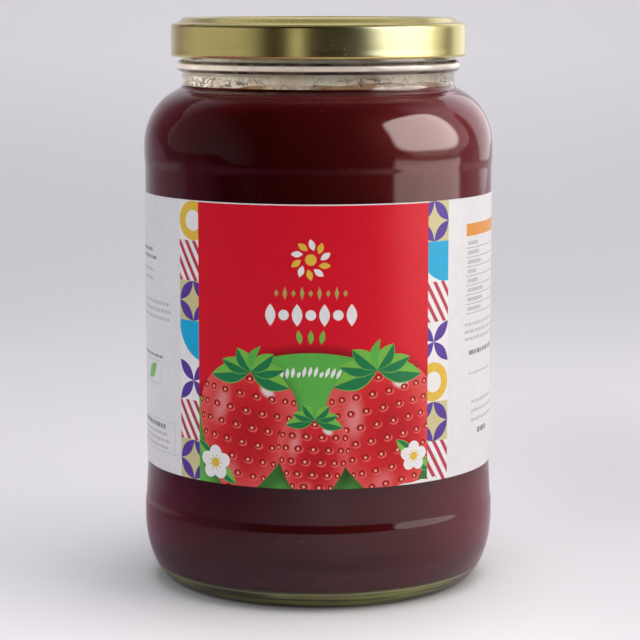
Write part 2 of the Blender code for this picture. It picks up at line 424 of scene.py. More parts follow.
@dataclass(frozen=True)
class JamFinish:
    """Dark set jam: dull at the glass with a painted red glow towards its slanted sides, glossy on its free
    surface.
    """

    dark: Colour = (0.028, 0.0004, 0.0004)
    light: Colour = (0.042, 0.0010, 0.0009)
    # Painted glow that stands in for light scattered through the jam.
    grazing_glow: Colour = (0.155, 0.012, 0.022)
    glow: Colour = (1.0, 0.16, 0.18)

    def make(self, free: bool) -> Material:
        """Build the material.

        Args:
            free: True for the surface that meets air.

        Returns:
            The material.
        """
        if free:
            finish = Finish("jam_surface", {"Roughness": 0.16, "Specular IOR Level": 0.5})
        else:
            tint = {"Specular Tint": self.glow}
            finish = Finish("jam_at_glass", {"Roughness": 0.38, "Specular IOR Level": 0.4, **tint})
        cloud = finish.mottled(self.dark, self.light, 24.0)
        if free:
            finish.drive("Base Color", cloud["Colour"])
            finish.bump(cloud["Height"], 0.5, 1.5 * MM)
            return finish.material
        # Painted light: the colour turns to the red glow where the surface is seen at a slant.
        slant = finish.writer.add("ShaderNodeLayerWeight", {"Blend": 0.5}).outputs["Facing"]
        grazing_share = finish.writer.spread(slant, 0.07, 0.30)
        finish.drive("Base Color", finish.writer.blend(grazing_share, cloud["Colour"], self.grazing_glow))
        return finish.material


@dataclass(frozen=True)
class SpeckFinish:
    """Small pips and bubbles that show in the jam at the glass."""

    dark: Colour = (0.060, 0.012, 0.008)
    light: Colour = (0.240, 0.100, 0.050)

    def make(self) -> Material:
        """Build the material.

        Returns:
            The material.
        """
        finish = Finish("jam_pips", {"Roughness": 0.5, "Specular IOR Level": 0.1})
        cloud = finish.mottled(self.dark, self.light, 160.0)
        finish.drive("Base Color", cloud["Colour"])
        return finish.material


@dataclass(frozen=True)
class ResidueFinish:
    """Thin jam smear on the inside of the neck."""

    dark: Colour = (0.24, 0.085, 0.030)
    light: Colour = (0.46, 0.27, 0.13)

    def make(self) -> Material:
        """Build the material.

        Returns:
            The material.
        """
        finish = Finish("neck_residue", {"Roughness": 0.35, "Specular IOR Level": 0.2})
        cloud = finish.mottled(self.dark, self.light, 120.0)
        finish.drive("Base Color", cloud["Colour"])
        patch = finish.group(mottle_group(), {"Scale": 30.0, "Low": 0.42, "High": 0.62})
        finish.drive("Alpha", finish.writer.product(patch["Mask"], 0.9))
        return finish.material


@dataclass(frozen=True)
class FilmFinish:
    """Pale misted film with fine dark squiggles on the inside of the neck."""

    dark: Colour = (0.78, 0.66, 0.54)
    light: Colour = (0.98, 0.94, 0.88)
    squiggle: Colour = (0.13, 0.08, 0.05)
    bead_from: tuple[float, float] = (177.2 * MM, 178.6 * MM)

    def make(self) -> Material:
        """Build the material.

        Returns:
            The material.
        """
        finish = Finish("neck_film", {"Roughness": 0.55, "Specular IOR Level": 0.3})
        writer = finish.writer
        cloud = finish.mottled(self.dark, self.light, 75.0)
        line = finish.group(mottle_group(), {"Scale": 260.0})
        drawn = writer.band(line["Height"], 0.5, 0.015, 0.06)
        gather = finish.group(mottle_group(), {"Scale": 110.0, "Low": 0.40, "High": 0.58})
        below_bead = writer.spread(writer.axes(writer.spot())["Z"], *self.bead_from, 0.85, 0.12)
        squiggles = writer.product(drawn, gather["Mask"], below_bead)
        finish.drive("Base Color", writer.blend(squiggles, cloud["Colour"], self.squiggle))
        haze = writer.spread(cloud["Mask"], 0.0, 1.0, 0.88, 1.0)
        finish.drive("Alpha", writer.math("MAXIMUM", haze, squiggles))
        return finish.material


@dataclass(frozen=True)
class BeadShadeFinish:
    """Painted shade and light inside the round bead: two dark bands for the shade its glass shows at its
    flanks, and a pale band of painted light between them.
    """

    dark: Colour = (0.008, 0.007, 0.010)
    light: Colour = (0.055, 0.042, 0.036)
    middles: tuple[float, float] = (179.05 * MM, 181.75 * MM)
    half: float = 0.72 * MM
    # Colour of the pale band of painted light in the bead's middle.
    body: Colour = (0.96, 0.88, 0.80)
    painted_light_share: float = 0.85

    def make(self) -> Material:
        """Build the material.

        Returns:
            The material.
        """
        finish = Finish("bead_shade", {"Roughness": 0.4, "Specular IOR Level": 0.3})
        writer = finish.writer
        cloud = finish.mottled(self.dark, self.light, 90.0)
        height = writer.axes(writer.spot())["Z"]
        # Painted shade: dark bands at the bead's flanks; painted light: a pale band between them, unevenly
        # strong.
        shades = [writer.band(height, middle, self.half * 0.5, self.half) for middle in self.middles]
        dark = writer.math("MAXIMUM", *shades)
        middle = sum(self.middles) / 2
        pale = writer.band(height, middle, self.half * 0.7, self.half * 1.4, self.painted_light_share)
        uneven_shade = writer.spread(cloud["Mask"], 0.0, 1.0, 0.94, 0.72)
        finish.drive("Base Color", writer.blend(dark, self.body, cloud["Colour"]))
        finish.drive("Alpha", writer.product(writer.math("MAXIMUM", dark, pale), uneven_shade))
        return finish.material


@dataclass(frozen=True)
class ThickBaseFinish:
    """Painted light and shade in the thick glass round the foot: green streaks, the glass's own tint
    painted as lit by light carried through it, a painted shade line, a pale painted highlight line and dark
    painted shade along the foot, with the jam showing right down to them.
    """

    # shade, green and pale paint light and shade in the glass; edge is the dark painted shade along the
    # foot and on the shade line.
    shade: Colour = (0.080, 0.075, 0.025)
    green: Colour = (0.360, 0.410, 0.115)
    pale: Colour = (0.640, 0.640, 0.380)
    edge: Colour = (0.020, 0.014, 0.010)
    jam_dark: Colour = (0.060, 0.0030, 0.0065)
    jam_light: Colour = (0.085, 0.0050, 0.0100)
    foot: tuple[float, float] = (1.0 * MM, 2.1 * MM)
    highlight_line: float = 6.0 * MM
    shade_line: float = 6.9 * MM
    jam_from: float = 6.7 * MM
    jam_fades: tuple[float, float] = (10.0 * MM, 18.5 * MM)

    def make(self) -> Material:
        """Build the material.

        Returns:
            The material.
        """
        finish = Finish("thick_base", {"Roughness": 0.30, "Specular IOR Level": 0.3})
        writer = finish.writer
        spot = writer.spot()
        height = writer.axes(spot)["Z"]
        drawn_out = writer.vector_math("MULTIPLY", {0: spot, 1: (1.0, 1.0, 26.0)})[0]
        streak = writer.noise(drawn_out, 26.0, 3.0, 0.55)
        # Painted light: green lit streaks broken by painted shade.
        glass = writer.blend(writer.spread(streak, 0.40, 0.58), self.shade, self.green)
        # Painted shade line, pale painted highlight line, then dark painted shade along the foot.
        dark = writer.band(height, self.shade_line, 0.1 * MM, 0.45 * MM, 0.9)
        glass = writer.blend(dark, glass, self.shade)
        pale = writer.band(height, self.highlight_line, 0.05 * MM, 0.4 * MM, 0.8)
        glass = writer.blend(pale, glass, self.pale)
        foot = writer.spread(height, *self.foot, 1.0, 0.0)
        glass = writer.blend(foot, glass, self.edge)
        # Patches of painted shade.
        base_shade_patches = writer.product(finish.group(mottle_group(), {"Scale": 40.0})["Mask"], 0.25)
        glass = writer.blend(base_shade_patches, glass, self.shade)
        jam = finish.mottled(self.jam_dark, self.jam_light, 24.0)["Colour"]
        # The painted shade line runs on across the jam.
        line = writer.band(height, self.shade_line, 0.1 * MM, 0.5 * MM, 0.7)
        jam = writer.blend(line, jam, self.edge)
        under = writer.spread(height, self.jam_from, self.jam_from + 0.5 * MM)
        finish.drive("Base Color", writer.blend(under, glass, jam))
        finish.drive("Alpha", writer.spread(height, *self.jam_fades, 1.0, 0.0))
        return finish.material


@dataclass(frozen=True)
class PaperFinish:
    """Coated label paper, printed from the mesh's own ink colours."""

    fibre_dark: Colour = (0.965, 0.965, 0.965)
    fibre_light: Colour = (1.0, 1.0, 1.0)

    def make(self, patches: list["SoftPatch"]) -> Material:
        """Build the material.

        Args:
            patches: Soft printed shades and lights, from the lowest up.

        Returns:
            The material.
        """
        constants = {"Specular IOR Level": 0.18, "Coat Weight": 0.05, "Coat Roughness": 0.2}
        finish = Finish("printed_paper", constants)
        writer = finish.writer
        inked = writer.add("ShaderNodeAttribute", attribute_name=PrintedLabel.INK).outputs
        flat = writer.add("ShaderNodeUVMap", uv_map=PrintedLabel.MAP).outputs["UV"]
        colour = inked["Color"]
        for patch in patches:
            colour = self.tinted(finish, patch, flat, inked["Alpha"], colour)
        fibre = finish.mottled(self.fibre_dark, self.fibre_light, 220.0)
        colour = writer.blend(1.0, colour, fibre["Colour"], "MULTIPLY")
        finish.marked((colour, colour), 60.0, 0.6, (0.30, 0.42))
        finish.bump(fibre["Height"], 0.12, 0.05 * MM)
        return finish.material

    def tinted(
        self,
        finish: Finish,
        patch: "SoftPatch",
        flat: Any,
        ground: Any,
        colour: Any,
    ) -> Any:
        """Lay one soft patch over the print.

        Args:
            finish: Finish that is being built.
            patch: The patch.
            flat: Socket of the label's map.
            ground: Socket of the ground numbers.
            colour: Socket of the print so far.

        Returns:
            Socket of the print with the patch on it.
        """
        writer = finish.writer
        given = {"Map": flat, "Centre": (*patch.centre, 0.0), "Turn": patch.turn}
        given["Half"] = (*patch.half, 1.0)
        away = finish.group(soft_ellipse_group(), given)["Distance"]
        low, high = (patch.strength, 0.0) if patch.fades_out else (0.0, patch.strength)
        mask = writer.spread(away, patch.inner, patch.outer, low, high)
        kept = writer.math("COMPARE", ground, patch.ground)
        kept.node.inputs[2].default_value = patch.reach
        return writer.blend(writer.product(mask, kept), colour, patch.tint, patch.mode)


@dataclass(frozen=True)
class FloorFinish:
    """Matt pale studio paper, painted dimmer where glossy surfaces reflect it in front, as beyond a table's
    edge, with painted shade behind the jar and close to its right and painted light up the wall.
    """

    near: Colour = (0.80, 0.79, 0.815)
    far: Colour = (0.77, 0.76, 0.79)
    dim_left: float = 0.08
    dim_right: float = 0.70
    dim_far_left: float = 0.42
    dim: Colour = (0.20, 0.02, 0.11)
    dimmest: Colour = (0.02, 0.0, 0.01)
    front_share: float = 0.06
    behind_shade_share: float = 0.83
    right_shade_share: float = 0.84
    wall_light_share: float = 1.24

    def make(self) -> Material:
        """Build the material.

        Returns:
            The material.
        """
        finish = Finish("studio_paper", {"Roughness": 0.85, "Specular IOR Level": 0.15})
        writer = finish.writer
        cloud = finish.mottled(self.far, self.near, 1.2)["Colour"]
        axes = writer.axes(writer.spot())
        side = writer.spread(axes["X"], -0.35, 0.15, self.dim_left, self.dim_right)
        near = writer.spread(axes["Y"], -0.68, -0.42, self.front_share, 1.0)
        behind = writer.spread(axes["Y"], -0.02, 0.28)
        far_side = writer.spread(axes["X"], -1.3, -0.35, self.dim_far_left, 1.0)
        share = writer.math("MAXIMUM", writer.product(side, near), writer.product(behind, far_side))
        # Painted darker reflection: glossy rays see the paper dim in front and at the sides.
        mirrored = writer.add("ShaderNodeLightPath").outputs["Is Glossy Ray"]
        dimmed = writer.product(mirrored, writer.math("SUBTRACT", 1.0, share))
        # Painted shade behind the jar and close to its right, painted light up the wall.
        away = writer.spread(axes["Y"], -0.10, 0.10, 1.0, self.behind_shade_share)
        wall_brightening = writer.spread(axes["Z"], 0.03, 0.20, 1.0, self.wall_light_share)
        close = writer.spread(axes["Y"], 0.05, 0.50, 1.0, 0.0)
        rightwards = writer.product(writer.spread(axes["X"], 0.03, 0.14), close)
        right_darkening = writer.spread(rightwards, 0.0, 1.0, 1.0, self.right_shade_share)
        lit = writer.blend(writer.product(away, wall_brightening, right_darkening), BLACK, cloud)
        shaded = writer.blend(near, self.dimmest, self.dim)
        finish.drive("Base Color", writer.blend(dimmed, lit, shaded))
        return finish.material


def turns(count: int) -> list[float]:
    """Evenly spaced angles of a full turn."""
    return [2 * pi * index / count for index in range(count)]


def polar(radius: float, angle: float, height: float) -> tuple[float, float, float]:
    """Place at a radius and an angle about Z, at a height."""
    return (radius * cos(angle), radius * sin(angle), height)


def beyond(start: Point, reach: float, angle: float) -> Point:
    """Flat point at a reach and an angle from another."""
    return (start[0] + reach * cos(angle), start[1] + reach * sin(angle))


def quarter_round(upright: Point, level: Point, fullness: float, steps: int) -> Outline:
    """Quarter of a superellipse between an upright wall and a level one.

    Args:
        upright: (radius, height) where the wall stands upright.
        level: (radius, height) where the wall lies level.
        fullness: 2 for an ellipse, more for a fuller corner.
        steps: Number of stretches.

    Returns:
        Points from the upright end to the level end.
    """
    points: Outline = []
    for step in range(steps + 1):
        turn = pi / 2 * step / steps
        across = max(cos(turn), 0.0) ** (2 / fullness)
        along = sin(turn) ** (2 / fullness)
        radius = level[0] + (upright[0] - level[0]) * across
        height = upright[1] + (level[1] - upright[1]) * along
        points.append((radius, height))
    return points


def eased(start: Point, end: Point, steps: int) -> Outline:
    """Soft step between two radii.

    Args:
        start: (radius, height) where the step starts.
        end: (radius, height) where it ends.
        steps: Number of stretches.

    Returns:
        Points strictly between start and end.
    """
    points: Outline = []
    for step in range(1, steps):
        along = step / steps
        ease = along * along * (3 - 2 * along)
        points.append((start[0] + (end[0] - start[0]) * ease, start[1] + (end[1] - start[1]) * along))
    return points


def straight(start: Point, end: Point, steps: int) -> Outline:
    """Points strictly between start and end on a straight line."""
    wide, high = end[0] - start[0], end[1] - start[1]
    return [(start[0] + wide * step / steps, start[1] + high * step / steps) for step in range(1, steps)]


def lead_on(points: Outline, end: Point, steps: int, soft: bool = False) -> None:
    """Lead an outline on from its last point.

    Args:
        points: The outline, which grows.
        end: Point that it is led to.
        steps: Number of stretches.
        soft: True for a soft step between two radii, False for a straight line.
    """
    between = eased if soft else straight
    points.extend([*between(points[-1], end, steps), end])


def turned_mesh(
    name: str,
    outline: Outline,
    segments: int,
    swell: Callable[[float, float, float], float] | None = None,
) -> Mesh:
    """Mesh turned about Z.

    Args:
        name: Mesh name.
        outline: (radius, height) points. A radius of zero makes a pole.
        segments: Number of steps round the axis.
        swell: Extra radius at a (radius, height, angle), or None.

    Returns:
        Mesh with its faces turned outwards, shaded smooth.
    """
    work = bmesh.new()
    rows: list[list[bmesh.types.BMVert]] = []
    for radius, height in outline:
        if radius < 1e-7:
            rows.append([work.verts.new((0.0, 0.0, height))])
            continue
        row = []
        for angle in turns(segments):
            reach = radius + (swell(radius, height, angle) if swell else 0.0)
            row.append(work.verts.new(polar(reach, angle, height)))
        rows.append(row)
    for near, far in zip(rows, rows[1:]):
        for index in range(segments):
            following = (index + 1) % segments
            if len(near) == 1:
                work.faces.new((near[0], far[following], far[index]))
            elif len(far) == 1:
                work.faces.new((near[index], near[following], far[0]))
            else:
                work.faces.new((near[index], near[following], far[following], far[index]))
    bmesh.ops.recalc_face_normals(work, faces=work.faces)
    mesh = finished(name, work)
    mesh.shade_smooth()
    return mesh


def finished(name: str, work: bmesh.types.BMesh) -> Mesh:
    """Mesh of what was built, which is then let go."""
    mesh = bpy.data.meshes.new(name)
    work.to_mesh(mesh)
    work.free()
    return mesh


def place(
    name: str,
    mesh: Mesh,
    materials: list[Material],
    slot: Slot,
) -> Object:
    """Make a piece that rides on the root body.

    Args:
        name: Name of the piece.
        mesh: Its mesh.
        materials: Materials to add to the mesh.
        slot: The record's material slot; not used.

    Returns:
        The new object.
    """
    piece = bpy.data.objects.new(name, mesh)
    for material in materials:
        mesh.materials.append(material)
    bpy.context.scene.collection.objects.link(piece)
    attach(piece, "root")
    return piece


class GeometryTree:
    """Geometry node tree that is run on a mesh and gives a plain one."""

    def __init__(self, name: str, inputs: dict[str, str]) -> None:
        """Start the tree.

        Args:
            name: Name of the tree.
            inputs: Input name to socket type, the geometry apart.
        """
        self.tree = bpy.data.node_groups.new(name, "GeometryNodeTree")
        self.tree.is_modifier = True
        face = self.tree.interface
        face.new_socket("Given", in_out="INPUT", socket_type="NodeSocketGeometry")
        self.sockets = {
            label: face.new_socket(label, in_out="INPUT", socket_type=kind)
            for label, kind in inputs.items()
        }
        face.new_socket("Made", in_out="OUTPUT", socket_type="NodeSocketGeometry")
        self.writer = TreeWriter(self.tree)
        self.given = self.writer.add("NodeGroupInput").outputs

    def end(self, copies: bpy.types.Node, smooth: bool) -> None:
        """Realize the copies, give them their finish and put them out."""
        made = self.writer.add("GeometryNodeRealizeInstances", {0: copies.outputs[0]})
        if smooth:
            made = self.writer.add("GeometryNodeSetShadeSmooth", {0: made.outputs[0]})
        dress = {0: made.outputs[0], "Material": self.given["Finish"]}
        made = self.writer.add("GeometryNodeSetMaterial", dress)
        self.writer.add("NodeGroupOutput", {0: made.outputs[0]})

    def run(self, name: str, source: Mesh, values: dict[str, Any]) -> Mesh:
        """Evaluate the tree on a mesh.

        Args:
            name: Name of the resulting mesh.
            source: Mesh that enters the tree.
            values: Input name to value.

        Returns:
            The result as a plain mesh.
        """
        carrier = bpy.data.objects.new(name + "_carrier", source)
        bpy.context.scene.collection.objects.link(carrier)
        modifier = carrier.modifiers.new(name, "NODES")
        modifier.node_group = self.tree
        for label, value in values.items():
            modifier[self.sockets[label].identifier] = value
        bpy.context.view_layer.update()
        graph = bpy.context.evaluated_depsgraph_get()
        result = bpy.data.meshes.new_from_object(carrier.evaluated_get(graph), depsgraph=graph)
        result.name = name
        carrier.modifiers.remove(modifier)
        bpy.data.objects.remove(carrier)
        return result


class ScatterTree(GeometryTree):
    """Strews small round bodies over a surface."""

    def __init__(self) -> None:
        """Build the tree once."""
        numbers = dict.fromkeys(("Spacing", "Density", "Smallest", "Largest", "Skew"), FLOAT)
        others = {"Proportions": VECTOR, "Detail": WHOLE, "Seed": WHOLE, "Finish": "NodeSocketMaterial"}
        super().__init__("strewn_bodies", numbers | others)
        writer, given = self.writer, self.given
        spread = {"Mesh": given[0], "Distance Min": given["Spacing"], "Density Max": given["Density"]}
        points = writer.add(
            "GeometryNodeDistributePointsOnFaces",
            {**spread, "Seed": given["Seed"]},
            distribute_method="POISSON",
        ).outputs
        chance = writer.add("FunctionNodeRandomValue", {"Seed": given["Seed"]}, data_type="FLOAT")
        skewed = writer.math("POWER", chance.outputs[1], given["Skew"])
        span = writer.math("SUBTRACT", given["Largest"], given["Smallest"])
        size = writer.math("ADD", given["Smallest"], writer.product(span, skewed))
        scale = writer.vector_math("SCALE", {0: given["Proportions"], "Scale": size})[0]
        ball = writer.add("GeometryNodeMeshIcoSphere", {"Radius": 1.0, "Subdivisions": given["Detail"]})
        spin = writer.add("FunctionNodeRandomValue", {"Seed": given["Seed"]}, data_type="FLOAT")
        spin.inputs[3].default_value = 2 * pi
        turn = writer.add("FunctionNodeAxisAngleToRotation", {"Angle": spin.outputs[1]}).outputs[0]
        facing = writer.add(
            "FunctionNodeRotateRotation",
            {"Rotation": points["Rotation"], "Rotate By": turn},
            rotation_space="LOCAL",
        ).outputs[0]
        placed = {"Points": points["Points"], "Instance": ball.outputs["Mesh"]}
        placed |= {"Rotation": facing, "Scale": scale}
        self.end(writer.add("GeometryNodeInstanceOnPoints", placed), True)


class RingTree(GeometryTree):
    """Repeats its input evenly round the Z axis."""

    def __init__(self) -> None:
        """Build the tree once."""
        super().__init__("ring_of_copies", {"Count": WHOLE, "Finish": "NodeSocketMaterial"})
        writer, given = self.writer, self.given
        points = writer.add("GeometryNodePoints", {"Count": given["Count"]}).outputs[0]
        number = writer.add("GeometryNodeInputIndex").outputs[0]
        share = writer.math("DIVIDE", writer.product(number, 2 * pi), given["Count"])
        turn = writer.add("FunctionNodeAxisAngleToRotation", {"Angle": share}).outputs[0]
        placed = {"Points": points, "Instance": given[0], "Rotation": turn}
        self.end(writer.add("GeometryNodeInstanceOnPoints", placed), False)


@dataclass
class GlassJar:
    """Clear turned jar with a six-start thread and a wetted inside."""

    segments: int = 240
    foot_radius: float = 50.0 * MM
    foot_width: float = 3.0 * MM
    push_up: float = 3.8 * MM
    lower_band: Point = (61.5 * MM, 27.0 * MM)
    crease: Point = (61.06 * MM, 31.2 * MM)
    heel_top: float = 22.8 * MM
    recess_radius: float = 60.55 * MM
    recess_bottom: float = 42.0 * MM
    recess_top: float = 145.5 * MM
    upper_band: Point = (60.8 * MM, 149.5 * MM)
    shoulder_start: float = 153.5 * MM
    shoulder_end: Point = (45.6 * MM, 172.6 * MM)
    shoulder_fullness: float = 1.9
    neck_radius: float = 47.4 * MM
    neck_bottom: float = 174.2 * MM
    neck_fillet: float = 1.9 * MM
    bead_middle: float = 180.35 * MM
    bead_half: float = 2.15 * MM
    bead_depth: float = 2.1 * MM
    rim_round: float = 1.2 * MM
    bore: float = 57.7 * MM
    neck_bore: float = 44.0 * MM
    neck_bore_bottom: float = 172.8 * MM
    floor_middle: float = 8.6 * MM
    floor_edge: Point = (42.0 * MM, 7.2 * MM)
    inner_heel_top: float = 21.0 * MM
    inner_shoulder_start: float = 152.5 * MM
    inner_shoulder_top: float = 170.6 * MM
    starts: int = 6
    thread_first: float = radians(-97)
    thread_sweep: float = radians(54)
    thread_low: float = 184.2 * MM
    thread_rise: float = 2.9 * MM
    thread_depth: float = 1.45 * MM
    thread_half: float = 1.5 * MM
    band_depth: float = 0.9 * MM
    band_heights: tuple[float, float] = (0.5 * MM, 19.0 * MM)
    shade_depth: float = 0.3 * MM
    rim_height: float = field(default_factory=lambda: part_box("glass_jar")[1].z)

    def outside(self) -> Outline:
        """Draw the jar's outer outline.

        Returns:
            Points from the middle of the base to the top of the rim.
        """
        foot_inner = self.foot_radius - self.foot_width
        points: Outline = [(0.0, self.push_up)]
        for share in (0.25, 0.5, 0.7, 0.82, 0.92, 0.97):
            points.append((foot_inner * share, self.push_up * (1 - share**5)))
        points += [(foot_inner - 0.3 * MM, 0.25 * MM), (foot_inner + 0.4 * MM, 0.0)]
        points.append((self.foot_radius - 0.8 * MM, 0.0))
        heel_start = (self.lower_band[0], self.heel_top)
        heel = quarter_round(heel_start, (self.foot_radius, 0.0), 2.05, 26)
        points += reversed(heel)
        points.append(self.lower_band)
        lead_on(points, self.crease, 10, soft=True)
        lead_on(points, (self.recess_radius, self.recess_bottom), 6)
        lead_on(points, (self.recess_radius, self.recess_top), 4)
        lead_on(points, self.upper_band, 8, soft=True)
        shoulder_top = (self.upper_band[0], self.shoulder_start)
        fillet_radius = self.neck_radius + self.neck_fillet
        shoulder = quarter_round(shoulder_top, self.shoulder_end, self.shoulder_fullness, 34)
        points += [point for point in shoulder if point[0] > fillet_radius + 0.5 * MM]
        fillet_end = (fillet_radius, self.neck_bottom - self.neck_fillet)
        points += reversed(quarter_round((self.neck_radius, self.neck_bottom), fillet_end, 2.0, 8))
        points += self.bead()
        points += self.finish_wall()
        rim_start = (self.neck_radius, self.rim_height - self.rim_round)
        rim_end = (self.neck_radius - self.rim_round, self.rim_height)
        points += quarter_round(rim_start, rim_end, 2.0, 8)
        return points

    def bead(self) -> Outline:
        """Round ring below the thread, with soft feet."""
        points: Outline = []
        steps = 18
        for along in (step / steps for step in range(steps + 1)):
            bulge = max(sin(pi * along), 0.0) ** 1.25
            height = self.bead_middle - self.bead_half * cos(pi * along)
            points.append((self.neck_radius + self.bead_depth * bulge, height))
        return points

    def finish_wall(self) -> Outline:
        """Wall behind the thread, in steps fine enough to carry its ridges."""
        low = self.bead_middle + self.bead_half
        high = self.rim_height - self.rim_round
        return straight((self.neck_radius, low), (self.neck_radius, high), 40)

    def thread_swell(self, radius: float, height: float, angle: float) -> float:
        """Height of the thread's ridge above the finish wall.

        Args:
            radius: Radius of the outline there.
            height: Height above the foot.
            angle: Angle about the axis.

        Returns:
            Extra radius, zero away from the ridges.
        """
        low = self.bead_middle + self.bead_half
        if abs(radius - self.neck_radius) > 1e-6 or height <= low:
            return 0.0
        share = 2 * pi / self.starts
        best = 0.0
        for lap in (0, 1):
            along = ((angle - self.thread_first) % share + lap * share) / self.thread_sweep
            if not 0.0 <= along <= 1.0:
                continue
            middle = self.thread_low + self.thread_rise * along
            away = abs(height - middle) / self.thread_half
            if away < 1.0:
                ends = min(1.0, along / 0.10, (1 - along) / 0.18)
                best = max(best, self.thread_depth * cos(away * pi / 2) ** 0.8 * max(ends, 0.0))
        return best

    def wet_outline(self, gap: float, steps: int = 16) -> Outline:
        """Inner outline from under the neck to the middle of the floor.

        Args:
            gap: Distance that it is held in from the wall, or less than zero to reach into it.
            steps: Stretches of the shoulder and of the heel.

        Returns:
            Points from the neck down.
        """
        bore = self.bore - gap
        neck = self.neck_bore - gap
        shoulder_end = (neck, self.inner_shoulder_top - gap)
        shoulder = quarter_round((bore, self.inner_shoulder_start), shoulder_end, 1.9, steps)
        edge = (self.floor_edge[0], self.floor_edge[1] + gap)
        points = [point for point in reversed(shoulder) if point[0] > neck + 1.5 * MM]
        heel = quarter_round((bore, self.inner_heel_top), edge, 2.2, steps)
        points += straight(points[-1], heel[0], 6)
        points += heel
        points.append((edge[0] * 0.6, (self.floor_middle + self.floor_edge[1]) / 2 + gap))
        points.append((0.0, self.floor_middle + gap))
        return points

    def inside(self) -> Outline:
        """Draw the jar's inner outline.

        Returns:
            Points from the rim down to the middle of the floor.
        """
        rim_start = (self.neck_bore, self.rim_height - self.rim_round)
        rim_end = (self.neck_bore + self.rim_round, self.rim_height)
        points: Outline = list(reversed(quarter_round(rim_start, rim_end, 2.0, 8)))
        lead_on(points, (self.neck_bore, self.neck_bore_bottom), 6)
        return points + self.wet_outline(0.0)

    def build_bead_shade(self, finish: Material) -> Object:
        """Make the surface inside the bead's glass that carries its painted dark shade lines and its band
        of painted light.
        """
        shade = [(radius - self.shade_depth, height) for radius, height in self.bead()]
        return place("bead_shade", turned_mesh("bead_shade", shade, 160), [finish], Slot.GLASS)

    def build_base_band(self, finish: Material) -> Object:
        """Make the surface inside the heel's thick glass that carries painted light and shade: lit green
        glass below, with jam above.

        Args:
            finish: Material of the surface.

        Returns:
            The surface.
        """
        heel = quarter_round((self.lower_band[0], self.heel_top), (self.foot_radius, 0.0), 2.05, 60)
        low, high = self.band_heights
        band = [(radius - self.band_depth, height) for radius, height in heel if low < height < high]
        return place("base_band", turned_mesh("base_band", band, 160), [finish], Slot.GLASS)

    def build(self, finish: Material) -> Object:
        """Make the glass and let it stand for its node.

        Args:
            finish: Material of the glass.

        Returns:
            The glass.
        """
        outline = self.outside() + self.inside()
        mesh = turned_mesh("glass_body", outline, self.segments, self.thread_swell)
        piece = place("glass_body", mesh, [finish], Slot.GLASS)
        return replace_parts(piece, "glass_jar")


@dataclass
class Filling:
    """Jam up to the level shown, the pips at the glass, and the film and smear in the neck."""

    jar: GlassJar
    reach: float = 0.12 * MM
    meniscus: float = 0.6 * MM
    meniscus_width: float = 2.2 * MM
    film_top: float = 189.0 * MM
    film_reach: float = 0.06 * MM
    smear_waves: tuple[int, ...] = (2, 3, 5, 9, 14, 23)
    level: float = field(default_factory=lambda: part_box("jam")[1].z - 1.2 * MM)

    def outline(self) -> Outline:
        """Draw the jam's outline.

        Returns:
            Points from the middle of its surface down the glass to the floor.
        """
        edge = self.jar.neck_bore + self.reach
        points: Outline = [(0.0, self.level)]
        for share in (0.25, 0.5, 0.75):
            points.append(((edge - self.meniscus_width) * share, self.level))
        for share in (0.0, 0.35, 0.6, 0.8, 0.92, 1.0):
            radius = edge - self.meniscus_width * (1 - share)
            points.append((radius, self.level + self.meniscus * share**3))
        points.append((edge, self.jar.neck_bore_bottom))
        return points + self.jar.wet_outline(-self.reach)

    def build_jam(self, at_glass: Material, free: Material) -> Object:
        """Make the jam and let it stand for its node.

        Args:
            at_glass: Material where the jam wets the glass.
            free: Material of the glossy surface that meets air.

        Returns:
            The jam.
        """
        mesh = turned_mesh("jam_body", self.outline(), 160)
        piece = place("jam_body", mesh, [at_glass, free], Slot.JAM)
        for polygon in mesh.polygons:
            on_top = polygon.normal.z > 0.35 and polygon.center.z > self.level - 0.2 * MM
            polygon.material_index = 1 if on_top else 0
        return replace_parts(piece, "jam")

    def build_pips(self, tree: ScatterTree, finish: Material) -> Object:
        """Strew pips over the jam where it wets the glass.

        Args:
            tree: Tree that strews them.
            finish: Material of the pips.

        Returns:
            All the pips as one piece.
        """
        wall = turned_mesh("pip_wall", self.jar.wet_outline(-0.10 * MM)[:-2], 96)
        values = {
            "Spacing": 3.0 * MM,
            "Density": 3000.0,
            "Smallest": 0.14 * MM,
            "Largest": 0.42 * MM,
            "Skew": 2.2,
            "Proportions": (1.0, 0.7, 0.45),
            "Detail": 1,
            "Seed": 4,
            "Finish": finish,
        }
        return place("jam_pips", tree.run("jam_pips", wall, values), [], Slot.JAM)

    def build_film(self, finish: Material) -> Object:
        """Make the misted film inside the neck, from the jam to behind the bead."""
        bore = self.jar.neck_bore + self.film_reach
        outline = [(bore, self.level + 0.1 * MM)]
        lead_on(outline, (bore, self.film_top), 4)
        return place("neck_film", turned_mesh("neck_film", outline, 160), [finish], Slot.GLASS)

    def build_residue(self, finish: Material) -> Object:
        """Make the thin smear that climbs the neck above the jam, higher in some places.

        Args:
            finish: Material of the smear.

        Returns:
            The smear.
        """
        rng = random.Random(5)
        waves = [(count, rng.uniform(0, 2 * pi), 1 / (1 + 0.25 * count)) for count in self.smear_waves]
        work = bmesh.new()
        rows = 5
        grid: list[list[bmesh.types.BMVert]] = []
        for angle in turns(360):
            climb = sum(size * sin(count * angle + shift) for count, shift, size in waves)
            top = max(0.4, 1.9 + 0.9 * climb) * MM
            column = []
            for row in range(rows):
                share = row / (rows - 1)
                reach = self.jar.neck_bore + self.film_reach + 0.03 * MM * (1 + share)
                height = self.level + self.meniscus * 0.5 + top * share
                column.append(work.verts.new(polar(reach, angle, height)))
            grid.append(column)
        for near, far in zip(grid, grid[1:] + grid[:1]):
            for row in range(rows - 1):
                work.faces.new((near[row], near[row + 1], far[row + 1], far[row]))
        mesh = finished("neck_residue", work)
        mesh.shade_smooth()
        return place("neck_residue", mesh, [finish], Slot.JAM)


